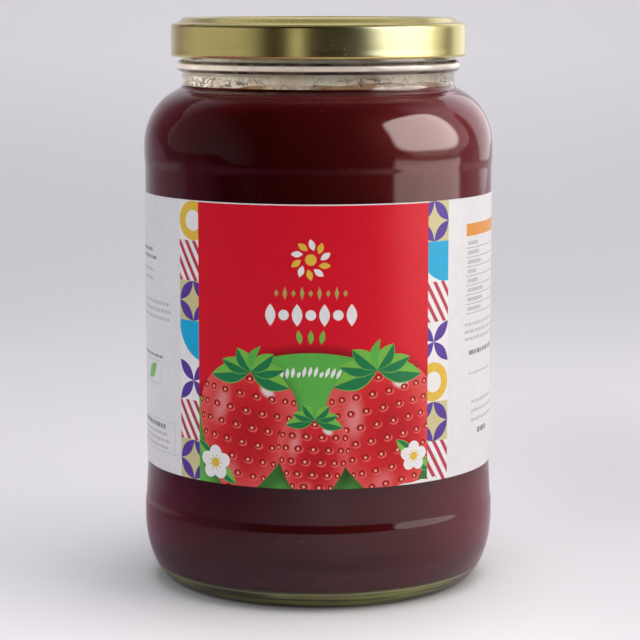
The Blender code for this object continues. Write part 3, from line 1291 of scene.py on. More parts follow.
@dataclass
class TwistLid:
    """Pressed gold lid with a raised ring, a rolled curl and six lugs."""

    segments: int = 240
    sheet: float = 0.3 * MM
    shoulder_round: float = 1.5 * MM
    ledge: Point = (49.3 * MM, 195.0 * MM)
    ring_outer: float = 46.8 * MM
    ring_inner: float = 42.5 * MM
    panel_radius: float = 41.0 * MM
    panel_drop: float = 0.9 * MM
    curl_radius: float = 0.95 * MM
    waist: float = 0.07 * MM
    lugs: int = 6
    lug_angle: float = radians(-90 + 42)
    lug_sweep: float = radians(12)
    lug_inner: float = 47.95 * MM
    radius: float = field(default_factory=lambda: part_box("lid")[1].x)
    bottom: float = field(default_factory=lambda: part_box("lid")[0].z)
    top: float = field(default_factory=lambda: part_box("lid")[1].z)

    def top_outline(self) -> Outline:
        """Start the lid's outline at the middle of its top.

        Returns:
            Panel, raised ring and ledge, from the middle out.
        """
        panel = self.top - self.panel_drop
        points: Outline = [(self.panel_radius * share, panel) for share in (0.0, 0.5, 0.94)]
        points.append((self.panel_radius, panel))
        lead_on(points, (self.ring_inner, self.top), 8, soft=True)
        lead_on(points, (self.ring_outer - 0.6 * MM, self.top), 3)
        points.append((self.ring_outer - 0.2 * MM, self.top - 0.06 * MM))
        points.append((self.ring_outer + 0.15 * MM, self.top - 0.22 * MM))
        radius, height = self.ledge
        lead_on(points, (radius - 0.9 * MM, height + 0.55 * MM), 4)
        return points + [(radius - 0.5 * MM, height + 0.26 * MM), (radius, height + 0.03 * MM)]

    def skirt_outline(self) -> Outline:
        """Lead the lid's outline down the skirt.

        Returns:
            Rounded shoulder, skirt with a slight waist, and the curl up to its inner side.
        """
        shoulder_level = (self.radius - self.shoulder_round, self.ledge[1])
        shoulder_start = (self.radius - 0.05 * MM, self.ledge[1] - self.shoulder_round)
        points: Outline = list(reversed(quarter_round(shoulder_start, shoulder_level, 2.0, 12)))
        curl_centre = (self.radius - self.curl_radius, self.bottom + self.curl_radius)
        waist_point = (self.radius - self.waist, curl_centre[1] + 2.2 * self.curl_radius)
        lead_on(points, (self.radius - 0.05 * MM, waist_point[1] + 2.2 * MM), 4)
        lead_on(points, waist_point, 5, soft=True)
        points += eased(waist_point, (self.radius, curl_centre[1] + 0.25 * self.curl_radius), 5)
        steps = 22
        for step in range(steps + 1):
            turn = -radians(225) * step / steps
            radius = curl_centre[0] + self.curl_radius * cos(turn)
            points.append((radius, curl_centre[1] + self.curl_radius * sin(turn)))
        return points

    def under_outline(self) -> Outline:
        """End the lid's outline with the inner face of the sheet.

        Returns:
            Points from above the curl to the middle.
        """
        wall = self.radius - self.sheet - self.waist
        panel = self.top - self.panel_drop
        level = (self.radius - self.shoulder_round, self.ledge[1] - self.sheet)
        start = (wall, self.ledge[1] - self.shoulder_round - self.sheet)
        points: Outline = [(wall, self.bottom + 3.0 * self.curl_radius)]
        points += quarter_round(start, level, 2.0, 8)
        points.append((self.ledge[0] - 0.7 * MM, self.ledge[1] + 0.2 * MM))
        ring_under, panel_under = self.top - self.sheet, panel - self.sheet
        points += [(self.ring_outer, ring_under), (self.ring_inner + 0.3 * MM, ring_under)]
        points.append((self.panel_radius + 0.2 * MM, panel_under))
        return points + [(self.panel_radius * 0.5, panel_under), (0.0, panel_under)]

    def lug_mesh(self) -> Mesh:
        """Make one lug, a thin rounded tongue bent in from the curl.

        Returns:
            Mesh of the lug, in its place on the lid.
        """
        work = bmesh.new()
        low = self.bottom + 0.15 * MM
        high = self.bottom + 0.85 * MM
        stations = 13
        rows = []
        outer = self.radius - self.curl_radius
        curl_inner = self.radius - 2 * self.curl_radius
        for station in range(stations):
            along = station / (stations - 1)
            angle = self.lug_angle + self.lug_sweep * (along - 0.5)
            inward = max(sin(pi * along), 0.0) ** 0.45
            inner = curl_inner - (curl_inner - self.lug_inner) * inward
            corners = [(inner, low + 0.15 * MM), (inner + 0.2 * MM, low), (outer, low)]
            corners += [(outer, high), (inner, high)]
            rows.append([work.verts.new(polar(radius, angle, height)) for radius, height in corners])
        for near, far in zip(rows, rows[1:]):
            for index in range(len(near)):
                following = (index + 1) % len(near)
                work.faces.new((near[index], near[following], far[following], far[index]))
        work.faces.new(rows[0])
        work.faces.new(list(reversed(rows[-1])))
        bmesh.ops.recalc_face_normals(work, faces=work.faces)
        return finished("lid_lug", work)

    def build(self, tree: RingTree, finish: Material) -> list[Object]:
        """Make the lid and its lugs.

        Args:
            tree: Tree that repeats a lug.
            finish: Material of both.

        Returns:
            The lid's shell and the ring of lugs.
        """
        outline = self.top_outline() + self.skirt_outline() + self.under_outline()
        shell = place("lid_shell", turned_mesh("lid_shell", outline, self.segments), [finish], Slot.LID)
        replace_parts(shell, "lid")
        ring = tree.run("lid_lugs", self.lug_mesh(), {"Count": self.lugs, "Finish": finish})
        return [shell, place("lid_lugs", ring, [], Slot.LID)]


class Ground:
    """Numbers stored with the print that tell a soft patch where it may lie."""

    RED = 0.0
    GREEN = 0.2
    OTHER = 0.5
    FRUIT = (0.8, 0.9, 1.0)


@dataclass(frozen=True)
class SoftPatch:
    """Soft elliptical shade or light over part of the print.

    Attributes:
        centre: Middle in label millimetres.
        half: Half axes.
        turn: Turn of the ellipse.
        tint: Colour that it lays on, or multiplies by on a red or green ground.
        strength: Greatest share of the tint.
        inner: Distance at which it starts to change, 1 at the ellipse.
        outer: Distance at which it has changed.
        fades_out: True if it is strong inside, False if it is strong outside.
        ground: Number of the ground that it lies on.
        reach: How far a ground's number may be off.
    """

    centre: Point
    half: Point
    turn: float
    tint: Colour
    strength: float
    inner: float
    outer: float
    fades_out: bool
    ground: float
    reach: float

    @property
    def mode(self) -> str:
        """Blend mode: shadows multiply, lights and shades on fruit lay colour on."""
        return "MULTIPLY" if self.ground < Ground.OTHER else "MIX"


@dataclass(frozen=True)
class Hill:
    """Green hill printed behind the fruit, as an ellipse in label millimetres."""

    centre: Point = (-2.2, -9.0)
    half_width: float = 56.0
    half_height: float = 54.5
    shadow_width: float = 4.5
    shadow_tint: Colour = (0.30, 0.45, 0.40)

    def outline(self) -> Outline:
        """Edge of the hill."""
        return ellipse(self.centre, self.half_width, self.half_height, 0.0, 120)

    def spot(self, angle: float, inset: float) -> Point:
        """Label point at an angle round the hill, an inset inside its edge."""
        x = self.centre[0] + (self.half_width - inset) * cos(angle)
        return (x, self.centre[1] + (self.half_height - inset) * sin(angle))

    def shadow(self) -> SoftPatch:
        """Soft printed shadow on the red just above the hill."""
        reach = 1.0 + self.shadow_width / self.half_height
        half = (self.half_width, self.half_height)
        return SoftPatch(self.centre, half, 0.0, self.shadow_tint, 0.9, 0.99, reach, True, Ground.RED, 0.05)


class Panel:
    """Places on the label's front, in label millimetres from its middle and its bottom edge."""

    LEFT = -43.4
    RIGHT = 39.1
    STRIP = 9.3
    TILE_ROWS = 7


def ellipse(centre: Point, wide: float, high: float, turn: float, steps: int) -> Outline:
    """Outline of an ellipse turned about its centre."""
    return [moved((wide * cos(angle), high * sin(angle)), centre, turn) for angle in turns(steps)]


def disc(centre: Point, radius: float, steps: int) -> Outline:
    """Outline of a disc."""
    return ellipse(centre, radius, radius, 0.0, steps)


def moved(point: Point, centre: Point, turn: float) -> Point:
    """Point turned about the origin and moved to a centre."""
    x = centre[0] + point[0] * cos(turn) - point[1] * sin(turn)
    y = centre[1] + point[0] * sin(turn) + point[1] * cos(turn)
    return (x, y)


def box_outline(left: float, bottom: float, right: float, top: float) -> Outline:
    """Rectangle, anticlockwise."""
    return [(left, bottom), (right, bottom), (right, top), (left, top)]


def leaf_outline(start: Point, tip: Point, width: float, steps: int = 8, lean: float = 0.0) -> Outline:
    """Pointed leaf between two points.

    Args:
        start: Base of the leaf.
        tip: Point of the leaf.
        width: Full width of the leaf.
        steps: Stretches on each side.
        lean: Share of the width that the leaf bows to its left.

    Returns:
        Anticlockwise outline.
    """
    length = dist(start, tip)
    turn = atan2(tip[1] - start[1], tip[0] - start[0])
    lower = []
    upper = []
    for step in range(steps + 1):
        along = step / steps
        half = width / 2 * max(sin(pi * along), 0.0) ** 0.9
        bow = lean * width * sin(pi * along)
        lower.append((along * length, bow - half))
        upper.append((along * length, bow + half))
    points = lower + list(reversed(upper[1:-1]))
    return [moved(point, start, turn) for point in points]


@dataclass(frozen=True)
class Mark:
    """One printed shape."""

    outline: Outline
    ink: Ink
    within: int | None = None
    ground: float = Ground.OTHER


class Artwork:
    """Printed shapes in the order that they are laid down."""

    def __init__(self) -> None:
        """Start with nothing printed."""
        self.marks: list[Mark] = []

    def lay(
        self,
        outline: Outline,
        ink: Ink,
        within: int | None = None,
        ground: float = Ground.OTHER,
    ) -> int:
        """Print a shape over what is there.

        Args:
            outline: Simple closed outline in label millimetres.
            ink: Ink of the shape.
            within: Number of an earlier shape that cuts this one off at its edge.
            ground: Number that soft patches look for.

        Returns:
            Number of the new shape.
        """
        self.marks.append(Mark(outline, ink, within, ground))
        return len(self.marks) - 1


@dataclass(frozen=True)
class Berry:
    """A drawn strawberry that hangs from its leaves."""

    top: Point
    length: float
    width: float
    turn: float
    ground: float
    pitch: float = 6.0

    def spot(self, across: float, down: float) -> Point:
        """Label point at a share across the berry (-1 to 1) and down it (0 to 1)."""
        return moved((across * self.half_width(down), -down * self.length), self.top, self.turn)

    def half_width(self, down: float) -> float:
        """Half of the berry's width at a share of its length."""
        bulge = sin(pi * min(max(down, 0.0), 1.0) ** 0.66)
        return self.width / 2 * max(bulge, 0.0) ** 0.66

    def outline(self) -> Outline:
        """Round-shouldered berry that narrows to its tip."""
        shares = [(1 - cos(pi * step / 36)) / 2 for step in range(37)]
        right = [self.spot(1.0, share) for share in shares[1:-1]]
        left = [self.spot(-1.0, share) for share in shares[1:-1]]
        return oriented([self.spot(0.0, 0.0), *right, self.spot(0.0, 1.0), *reversed(left)])

    def seeds(self) -> list[tuple[Point, float, float]]:
        """Set the seeds in rows that close up towards the sides.

        Returns:
            Place, turn and foreshortening of each seed.
        """
        places = []
        rows = max(3, round(self.length * 0.80 / (self.pitch * 0.86)))
        for row in range(rows + 1):
            down = 0.10 + 0.82 * row / rows
            around = self.half_width(down) * pi / 2 / self.pitch
            offset = 0.5 if row % 2 else 0.0
            for index in range(-6, 7):
                bend = (index + offset) / max(around, 0.6)
                if abs(bend) > 0.86:
                    continue
                across = sin(bend * pi / 2)
                lean = self.turn + across * 0.45 * (down - 0.35)
                places.append((self.spot(across, down), lean, cos(bend * pi / 2 * 0.82)))
        return places

    def patches(self) -> list[SoftPatch]:
        """Shade the berry.

        Returns:
            Its shadow on the ground, and the soft lights and shades on it.
        """
        centre = self.spot(0.0, 0.46)
        half = (self.width * 0.50, self.length * 0.53)
        below = (centre[0] + 1.2, centre[1] - 1.4)
        cast = (half[0] * 1.08, half[1] * 1.05)
        glow, light = Ink.BERRY_GLOW.value, Ink.BERRY_SHEEN.value
        lights = (
            ((0.12, 0.50), (0.33, 0.36), 0.0, Ink.BERRY_SHADE.value, 0.75, 0.2),
            ((-0.52, 0.33), (0.12, 0.22), -0.15, light, 0.60, 0.1),
            ((0.42, 0.17), (0.10, 0.05), -0.5, Ink.BERRY_SPARK.value, 0.9, 0.3),
            ((-0.35, 0.80), (0.16, 0.10), 0.6, light, 0.35, 0.1),
        )
        patches = [
            SoftPatch(below, cast, self.turn, (0.38, 0.38, 0.38), 1.0, 0.80, 1.10, True, 0.1, 0.15),
            SoftPatch(centre, half, self.turn, glow, 0.85, 0.52, 1.02, False, self.ground, 0.04),
        ]
        for spot, share, turn, tint, strength, inner in lights:
            reach = (self.width * share[0], self.length * share[1])
            shape = (self.spot(*spot), reach, self.turn + turn, tint, strength, inner)
            patches.append(SoftPatch(*shape, 1.0, True, self.ground, 0.04))
        return patches

    def draw(self, art: Artwork, panel: int) -> None:
        """Print the berry, its seeds and its leaves.

        Args:
            art: Artwork to print on.
            panel: Number of the panel that cuts the berry off.
        """
        body = art.lay(self.outline(), Ink.BERRY, panel, self.ground)
        for spot, turn, narrow in self.seeds():
            wide = 1.30 * narrow + 0.15
            lit = (spot[0] + 0.30, spot[1] - 0.35)
            art.lay(ellipse(lit, wide * 1.18, 1.25, turn, 12), Ink.BERRY_GLOW, body)
            art.lay(ellipse(spot, wide, 1.08, turn, 12), Ink.DIMPLE, body)
            art.lay(ellipse((spot[0], spot[1] - 0.12), wide * 0.36, 0.52, turn + 0.3, 8), Ink.SEED, body)
        self.draw_leaves(art)

    def draw_leaves(self, art: Artwork) -> None:
        """Print the crown of leaves over the berry's top."""
        start = self.spot(0.0, 0.05)
        reach = self.width * 0.42
        spreads = (-0.35, 3.45, 0.25, 2.85, 0.95, 2.15)
        for index, spread in enumerate(spreads):
            angle = self.turn + spread
            size = reach * (1.0 if index < 2 else 0.78)
            tip = (start[0] + size * cos(angle), start[1] + size * sin(angle) * 0.72)
            art.lay(leaf_outline(start, tip, size * 0.46), Ink.LEAF)
            lean = -0.45 if cos(angle) > 0 else 0.45
            art.lay(leaf_outline(start, tip, size * 0.22, lean=lean), Ink.LEAF_SHADE)
        up = moved((0.0, reach * 0.62), start, self.turn - 0.25)
        art.lay(leaf_outline(start, up, self.width * 0.08, lean=0.5), Ink.GREEN)


def oriented(outline: Outline) -> Outline:
    """The outline, anticlockwise."""
    area = sum(a[0] * b[1] - b[0] * a[1] for a, b in zip(outline, outline[1:] + outline[:1]))
    return outline if area > 0 else list(reversed(outline))


class TileKind(Enum):
    """Motifs of the tiled side strips."""

    STRIPES = "stripes"
    PETALS = "petals"
    FLOWER = "flower"
    RING = "ring"
    QUARTER = "quarter"


@dataclass(frozen=True)
class TileStrip:
    """Column of square tiles of which the red panel hides one side."""

    left: float
    right: float
    middle: float
    top: float
    size: float
    kinds: tuple[TileKind, ...]

    def draw(self, art: Artwork) -> None:
        """Print the tiles from the top down."""
        for row, kind in enumerate(self.kinds):
            high = self.top - row * self.size
            ground = Ink.STRAW if kind is TileKind.FLOWER else Ink.WHITE
            tile = art.lay(box_outline(self.left, high - self.size, self.right, high), ground)
            centre = (self.middle, high - self.size / 2)
            getattr(self, kind.value)(art, tile, centre)

    def stripes(self, art: Artwork, tile: int, centre: Point) -> None:
        """Slanting stripes."""
        half = self.size / 2
        for index in range(-5, 6):
            x = centre[0] + index * self.size * 0.27
            lean = self.size * 0.62
            low, high = centre[1] - half, centre[1] + half
            width = self.size * 0.125
            shape = [(x + lean / 2, low), (x + width + lean / 2, low)]
            shape += [(x + width - lean / 2, high), (x - lean / 2, high)]
            art.lay(shape, Ink.STRIPE, tile)

    def petal_ring(self, art: Artwork, tile: int, centre: Point, inwards: bool) -> None:
        """Four petals.

        Args:
            art: Artwork to print on.
            tile: Number of the tile that cuts them off.
            centre: Middle of the tile.
            inwards: True for a cross from the middle, False for a ring round it.
        """
        half = self.size / 2
        for angle in turns(4):
            start = centre if inwards else moved((half, 0.0), centre, angle)
            tip = moved((half if inwards else 0.0, half), centre, angle)
            art.lay(leaf_outline(start, tip, dist(start, tip) * 0.40, 10), Ink.PURPLE, tile)

    def petals(self, art: Artwork, tile: int, centre: Point) -> None:
        """Four petals that meet in the middle."""
        self.petal_ring(art, tile, centre, True)

    def flower(self, art: Artwork, tile: int, centre: Point) -> None:
        """Four petals that ring a star."""
        self.petal_ring(art, tile, centre, False)

    def ring(self, art: Artwork, tile: int, centre: Point) -> None:
        """Broad yellow ring."""
        art.lay(disc(centre, self.size * 0.49, 40), Ink.YELLOW, tile)
        art.lay(disc(centre, self.size * 0.26, 30), Ink.WHITE, tile)

    def quarter(self, art: Artwork, tile: int, centre: Point) -> None:
        """Quarter disc from one corner."""
        half = self.size / 2
        corner = (centre[0] + half, centre[1] + half)
        art.lay(disc(corner, self.size * 1.02, 64), Ink.CYAN, tile)


@dataclass(frozen=True)
class TextBlock:
    """Lines of plain bars in place of small print."""

    left: float
    right: float
    top: float
    lines: int
    pitch: float
    height: float
    ink: Ink
    seed: int
    ragged: float = 0.35

    def draw(self, art: Artwork) -> None:
        """Print the bars, broken up like words."""
        rng = random.Random(self.seed)
        for line in range(self.lines):
            high = self.top - line * self.pitch
            end = self.right - rng.uniform(0, self.ragged) * (self.right - self.left)
            x = self.left
            while x < end - 0.8:
                width = min(rng.uniform(1.0, 3.6), end - x)
                art.lay(box_outline(x, high - self.height, x + width, high), self.ink)
                x += width + 0.55


@dataclass
class PrintedLabel:
    """Wrap-round paper label with flat printed shapes."""

    INK = "ink"
    MAP = "label_map"

    jar: GlassJar
    glue: float = 0.05 * MM
    paper: float = 0.12 * MM
    column: float = 2.0
    open_angle: float = radians(15)
    bottom: float = field(default_factory=lambda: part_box("label")[0].z)
    top: float = field(default_factory=lambda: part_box("label")[1].z)
    hill: Hill = field(default_factory=Hill)

    @property
    def radius(self) -> float:
        """Radius of the printed face."""
        return self.jar.recess_radius + self.glue + self.paper

    @property
    def height(self) -> float:
        """Height of the label in millimetres."""
        return (self.top - self.bottom) / MM

    @property
    def half_length(self) -> float:
        """Half of the label's length round the jar, in millimetres."""
        return (pi - self.open_angle / 2) * self.radius / MM

    def artwork(self) -> Artwork:
        """Lay down every printed shape.

        Returns:
            The shapes, from the paper up.
        """
        art = Artwork()
        end, high = self.half_length, self.height
        art.lay(box_outline(-end, 0.0, end, high), Ink.PAPER)
        self.draw_side_panels(art)
        front = box_outline(Panel.LEFT, 0.0, Panel.RIGHT, high - 0.4)
        panel = art.lay(front, Ink.RED, None, Ground.RED)
        art.lay(self.hill.outline(), Ink.GREEN, panel, Ground.GREEN)
        self.draw_hill_leaves(art, panel)
        self.draw_strips(art)
        self.draw_ornament(art)
        self.draw_fruit(art, panel)
        torn = [(27.0, 0.0), (44.0, 0.0), (42.5, 1.5), (40.0, 0.9), (36.5, 1.25), (33.0, 0.55), (30.0, 0.5)]
        art.lay(torn, Ink.WHITE)
        return art

    def draw_strips(self, art: Artwork) -> None:
        """Print both tiled strips."""
        size = self.height / Panel.TILE_ROWS
        kind = TileKind
        left = (kind.RING, kind.STRIPES, kind.FLOWER, kind.QUARTER, kind.PETALS, kind.STRIPES, kind.FLOWER)
        right = (kind.FLOWER, kind.QUARTER, kind.STRIPES, kind.PETALS, kind.RING, kind.FLOWER, kind.STRIPES)
        outer = Panel.LEFT - Panel.STRIP
        TileStrip(outer, Panel.LEFT, outer + size / 2, self.height, size, left).draw(art)
        outer = Panel.RIGHT + Panel.STRIP
        TileStrip(Panel.RIGHT, outer, outer - size / 2, self.height, size, right).draw(art)

    def draw_hill_leaves(self, art: Artwork, panel: int) -> None:
        """Print an arc of small white leaves along the hill's edge."""
        count = 22
        for index in range(count):
            angle = radians(113 - 46 * index / (count - 1))
            foot = self.hill.spot(angle, 8.0)
            tip = self.hill.spot(angle - 0.02, 4.4 if index % 4 else 6.0)
            art.lay(leaf_outline(foot, tip, 1.25, 5), Ink.WHITE, panel)

    def draw_ornament(self, art: Artwork) -> None:
        """Print a small wreath over three rows of plain motifs."""
        middle = -2.4
        wreath = (middle, 76.2)
        for index, angle in enumerate(turns(10)):
            petal = leaf_outline(beyond(wreath, 3.2, angle), beyond(wreath, 6.8, angle + 0.35), 2.1)
            art.lay(petal, Ink.YELLOW if index % 2 else Ink.WHITE)
        art.lay(disc(wreath, 1.9, 20), Ink.YELLOW)
        for index in range(9):
            x = middle + 2.85 * (index - 4)
            high = 2.3 if index % 2 else 1.2
            art.lay([(x - 0.75, 65.2), (x, 65.2 - high), (x + 0.75, 65.2), (x, 65.2 + high)], Ink.GOLD)
        for index in range(7):
            x = middle + 4.5 * (index - 3)
            if index % 2:
                art.lay(disc((x, 58.0), 1.75, 20), Ink.WHITE)
            else:
                art.lay(leaf_outline((x, 54.3), (x, 61.7), 3.5), Ink.WHITE)
        for index in range(3):
            x = middle + 3.4 * (index - 1)
            art.lay(leaf_outline((x, 48.4), (x + 0.8 * (index - 1), 53.0), 1.9), Ink.LEAF)

    def berries(self) -> list[Berry]:
        """The drawn berries, from the hindmost on."""
        back, right, front = Ground.FRUIT
        return [
            Berry((-22.5, 41.0), 46.0, 36.0, radians(-8), back),
            Berry((19.5, 42.0), 50.0, 40.0, radians(9), right),
            Berry((-1.0, 25.0), 31.0, 24.0, radians(-3), front, 5.2),
        ]

    def patches(self) -> list[SoftPatch]:
        """Every soft printed shade and light."""
        return [self.hill.shadow()] + [patch for berry in self.berries() for patch in berry.patches()]

    def draw_fruit(self, art: Artwork, panel: int) -> None:
        """Print three berries and two blossoms in front of the hill."""
        for berry in self.berries():
            berry.draw(art, panel)
        self.draw_blossom(art, (-36.5, 7.0), 6.2, panel)
        self.draw_blossom(art, (33.5, 9.5), 5.4, panel)

    def draw_blossom(self, art: Artwork, centre: Point, size: float, panel: int) -> None:
        """Print a five-petalled white blossom with two leaves behind it.

        Args:
            art: Artwork to print on.
            centre: Middle of the blossom.
            size: Reach of its petals.
            panel: Number of the panel that cuts it off.
        """
        for angle in (2.4, 5.6):
            tip = beyond(centre, size * 1.7, angle)
            art.lay(leaf_outline(centre, tip, size * 0.7), Ink.LEAF, panel)
            art.lay(leaf_outline(centre, tip, size * 0.3, lean=-0.5), Ink.LEAF_SHADE, panel)
        for turn in turns(5):
            spot = beyond(centre, size * 0.52, turn + 0.3)
            art.lay(ellipse(spot, size * 0.44, size * 0.40, turn + 0.3, 20), Ink.WHITE, panel)
        art.lay(disc(centre, size * 0.27, 16), Ink.YELLOW)
        for angle in turns(9):
            art.lay(disc(beyond(centre, size * 0.38, angle), size * 0.05, 6), Ink.YELLOW)

    def draw_side_panels(self, art: Artwork) -> None:
        """Print the table and the plain bars on the white paper beside the front."""
        art.lay(box_outline(58.7, 81.2, 96.0, 85.4), Ink.ORANGE)
        rng = random.Random(3)
        for row in range(8):
            high = 79.4 - 3.2 * row
            for left, shortest, longest in ((59.6, 6.0, 13.0), (88.0, 4.0, 7.0)):
                end = left + rng.uniform(shortest, longest)
                art.lay(box_outline(left, high - 1.3, end, high), Ink.PALE_GREY)
            art.lay(box_outline(58.7, high - 2.35, 96.0, high - 2.15), Ink.GREY)
        pale, grey = Ink.PALE_GREY, Ink.GREY
        beside = (
            (58.0, 96.0, 51.6, 3, 2.5, 1.1, pale, 7),
            (61.0, 88.0, 42.0, 1, 2.6, 1.5, grey, 8),
            (61.0, 86.0, 34.4, 1, 2.6, 0.8, pale, 9),
            (63.0, 92.0, 24.6, 3, 3.2, 1.1, pale, 10),
            (68.0, 80.0, 14.4, 1, 3.0, 1.8, grey, 11),
            (-104.0, -66.6, 76.0, 2, 2.6, 1.1, grey, 12),
            (-104.0, -65.6, 69.0, 2, 3.0, 1.0, pale, 17),
            (-104.0, -58.2, 58.4, 3, 2.6, 1.2, pale, 13, 0.06),
            (-86.0, -64.5, 39.6, 1, 2.5, 0.9, grey, 14, 0.0),
        )
        boxed = (
            (-102.6, -57.2, 16.2, 1, 2.6, 1.6, grey, 15, 0.1),
            (-102.6, -57.8, 13.2, 3, 2.3, 0.9, pale, 16, 0.2),
        )
        for block in beside:
            TextBlock(*block).draw(art)
        art.lay(box_outline(-82.0, 29.4, -66.6, 37.6), pale)
        art.lay(box_outline(-81.7, 29.7, -66.9, 37.3), Ink.PAPER)
        art.lay(leaf_outline((-78.6, 30.6), (-70.0, 36.4), 4.6), Ink.LEAF)
        art.lay(box_outline(-104.0, 6.4, -56.2, 17.4), pale)
        art.lay(box_outline(-103.8, 6.6, -56.4, 17.2), Ink.PAPER)
        for block in boxed:
            TextBlock(*block).draw(art)
        for side, left in ((-1, -168.0), (1, 118.0)):
            TextBlock(left, left + 50.0, 84.0, 9, 2.9, 1.1, pale, 20 + side).draw(art)
            TextBlock(left, left + 50.0, 50.0, 11, 2.9, 1.1, pale, 30 + side).draw(art)

    def flat_mesh(self, art: Artwork) -> tuple[np.ndarray, np.ndarray, list[Mark]]:
        """Cut the flat label into triangles along every printed edge.

        Args:
            art: Printed shapes.

        Returns:
            Points in label millimetres, triangles, and the shape that each triangle shows.
        """
        points: list[Vector] = []
        faces: list[list[int]] = []
        for mark in art.marks:
            start = len(points)
            points += [Vector(point) for point in mark.outline]
            faces.append(list(range(start, len(points))))
        edges: list[tuple[int, int]] = []
        count = ceil(2 * self.half_length / self.column)
        for index in range(1, count):
            x = -self.half_length + 2 * self.half_length * index / count
            edges.append((len(points), len(points) + 1))
            points += [Vector((x, 0.0)), Vector((x, self.height))]
        cut = delaunay_2d_cdt(points, edges, faces, 1, 1e-5, True)
        kept = [(face, owners) for face, owners in zip(cut[2], cut[5]) if 0 in owners]
        marks = [self.top_mark(art, owners) for _, owners in kept]
        used, triangles = np.unique(np.array([face for face, _ in kept]), return_inverse=True)
        flat = np.array([tuple(point) for point in cut[0]])[used]
        return flat, triangles.reshape(-1, 3), marks

    def top_mark(self, art: Artwork, owners: list[int]) -> Mark:
        """The last shape that covers a triangle and isn't cut off there."""
        inside = set(owners)
        top = art.marks[0]
        for number in sorted(inside):
            mark = art.marks[number]
            if self.covers(art, mark, inside):
                top = mark
        return top

    def covers(self, art: Artwork, mark: Mark, inside: set[int]) -> bool:
        """Whether a shape shows where the shapes of a set overlap."""
        if mark.within is None:
            return True
        return mark.within in inside and self.covers(art, art.marks[mark.within], inside)

    def wrap(self, flat: np.ndarray, radius: float) -> np.ndarray:
        """Wrap the flat label round the wall.

        Args:
            flat: Points of the flat label, in millimetres.
            radius: Radius that they come to lie at.

        Returns:
            The points in the shared frame.
        """
        angle = flat[:, 0] * MM / self.radius - pi / 2
        height = self.bottom + flat[:, 1] * MM
        return np.stack([radius * np.cos(angle), radius * np.sin(angle), height], 1)

    def build(self, finish: Material) -> Object:
        """Make the label and let it stand for its node.

        Args:
            finish: Material of the paper and its print.

        Returns:
            The label.
        """
        flat, triangles, marks = self.flat_mesh(self.artwork())
        count = len(flat)
        outer = self.wrap(flat, self.radius)
        inner = self.wrap(flat, self.radius - self.paper)
        ends = np.concatenate([triangles[:, [0, 1]], triangles[:, [1, 2]], triangles[:, [2, 0]]])
        known = {tuple(end) for end in ends.tolist()}
        rim = [(a, b) for a, b in known if (b, a) not in known]
        faces = triangles.tolist() + (triangles[:, ::-1] + count).tolist()
        faces += [[b, a, a + count, b + count] for a, b in rim]
        mesh = bpy.data.meshes.new("label_print")
        mesh.from_pydata(np.concatenate([outer, inner]).tolist(), [], faces)
        self.colour_faces(mesh, flat, triangles, marks)
        mesh.shade_smooth()
        mesh.set_sharp_from_angle(angle=radians(40))
        mesh.update()
        piece = place("label_print", mesh, [finish], Slot.LABEL)
        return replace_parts(piece, "label")

    def colour_faces(
        self,
        mesh: Mesh,
        flat: np.ndarray,
        triangles: np.ndarray,
        marks: list[Mark],
    ) -> None:
        """Store what the paper's material reads: each face's ink colour and the flat map.

        Args:
            mesh: The label's mesh.
            flat: Points of the flat label.
            triangles: Their triangles.
            marks: The mark that shows in each triangle.
        """
        inked = mesh.attributes.new(self.INK, "FLOAT_COLOR", "CORNER")
        colours = np.ones((len(mesh.loops), 4), np.float32)
        colours[:] = (*Ink.PAPER.value, Ground.OTHER)
        front = np.array([(*mark.ink.value, mark.ground) for mark in marks], np.float32)
        colours[: 3 * len(triangles)] = np.repeat(front, 3, 0)
        inked.data.foreach_set("color", colours.ravel())
        layer = mesh.uv_layers.new(name=self.MAP)
        corners = np.empty(len(mesh.loops), np.int32)
        mesh.loops.foreach_get("vertex_index", corners)
        places = flat[corners % len(flat)].astype(np.float32)
        places[3 * len(triangles) :, 1] = -100.0
        layer.data.foreach_set("uv", places.ravel())


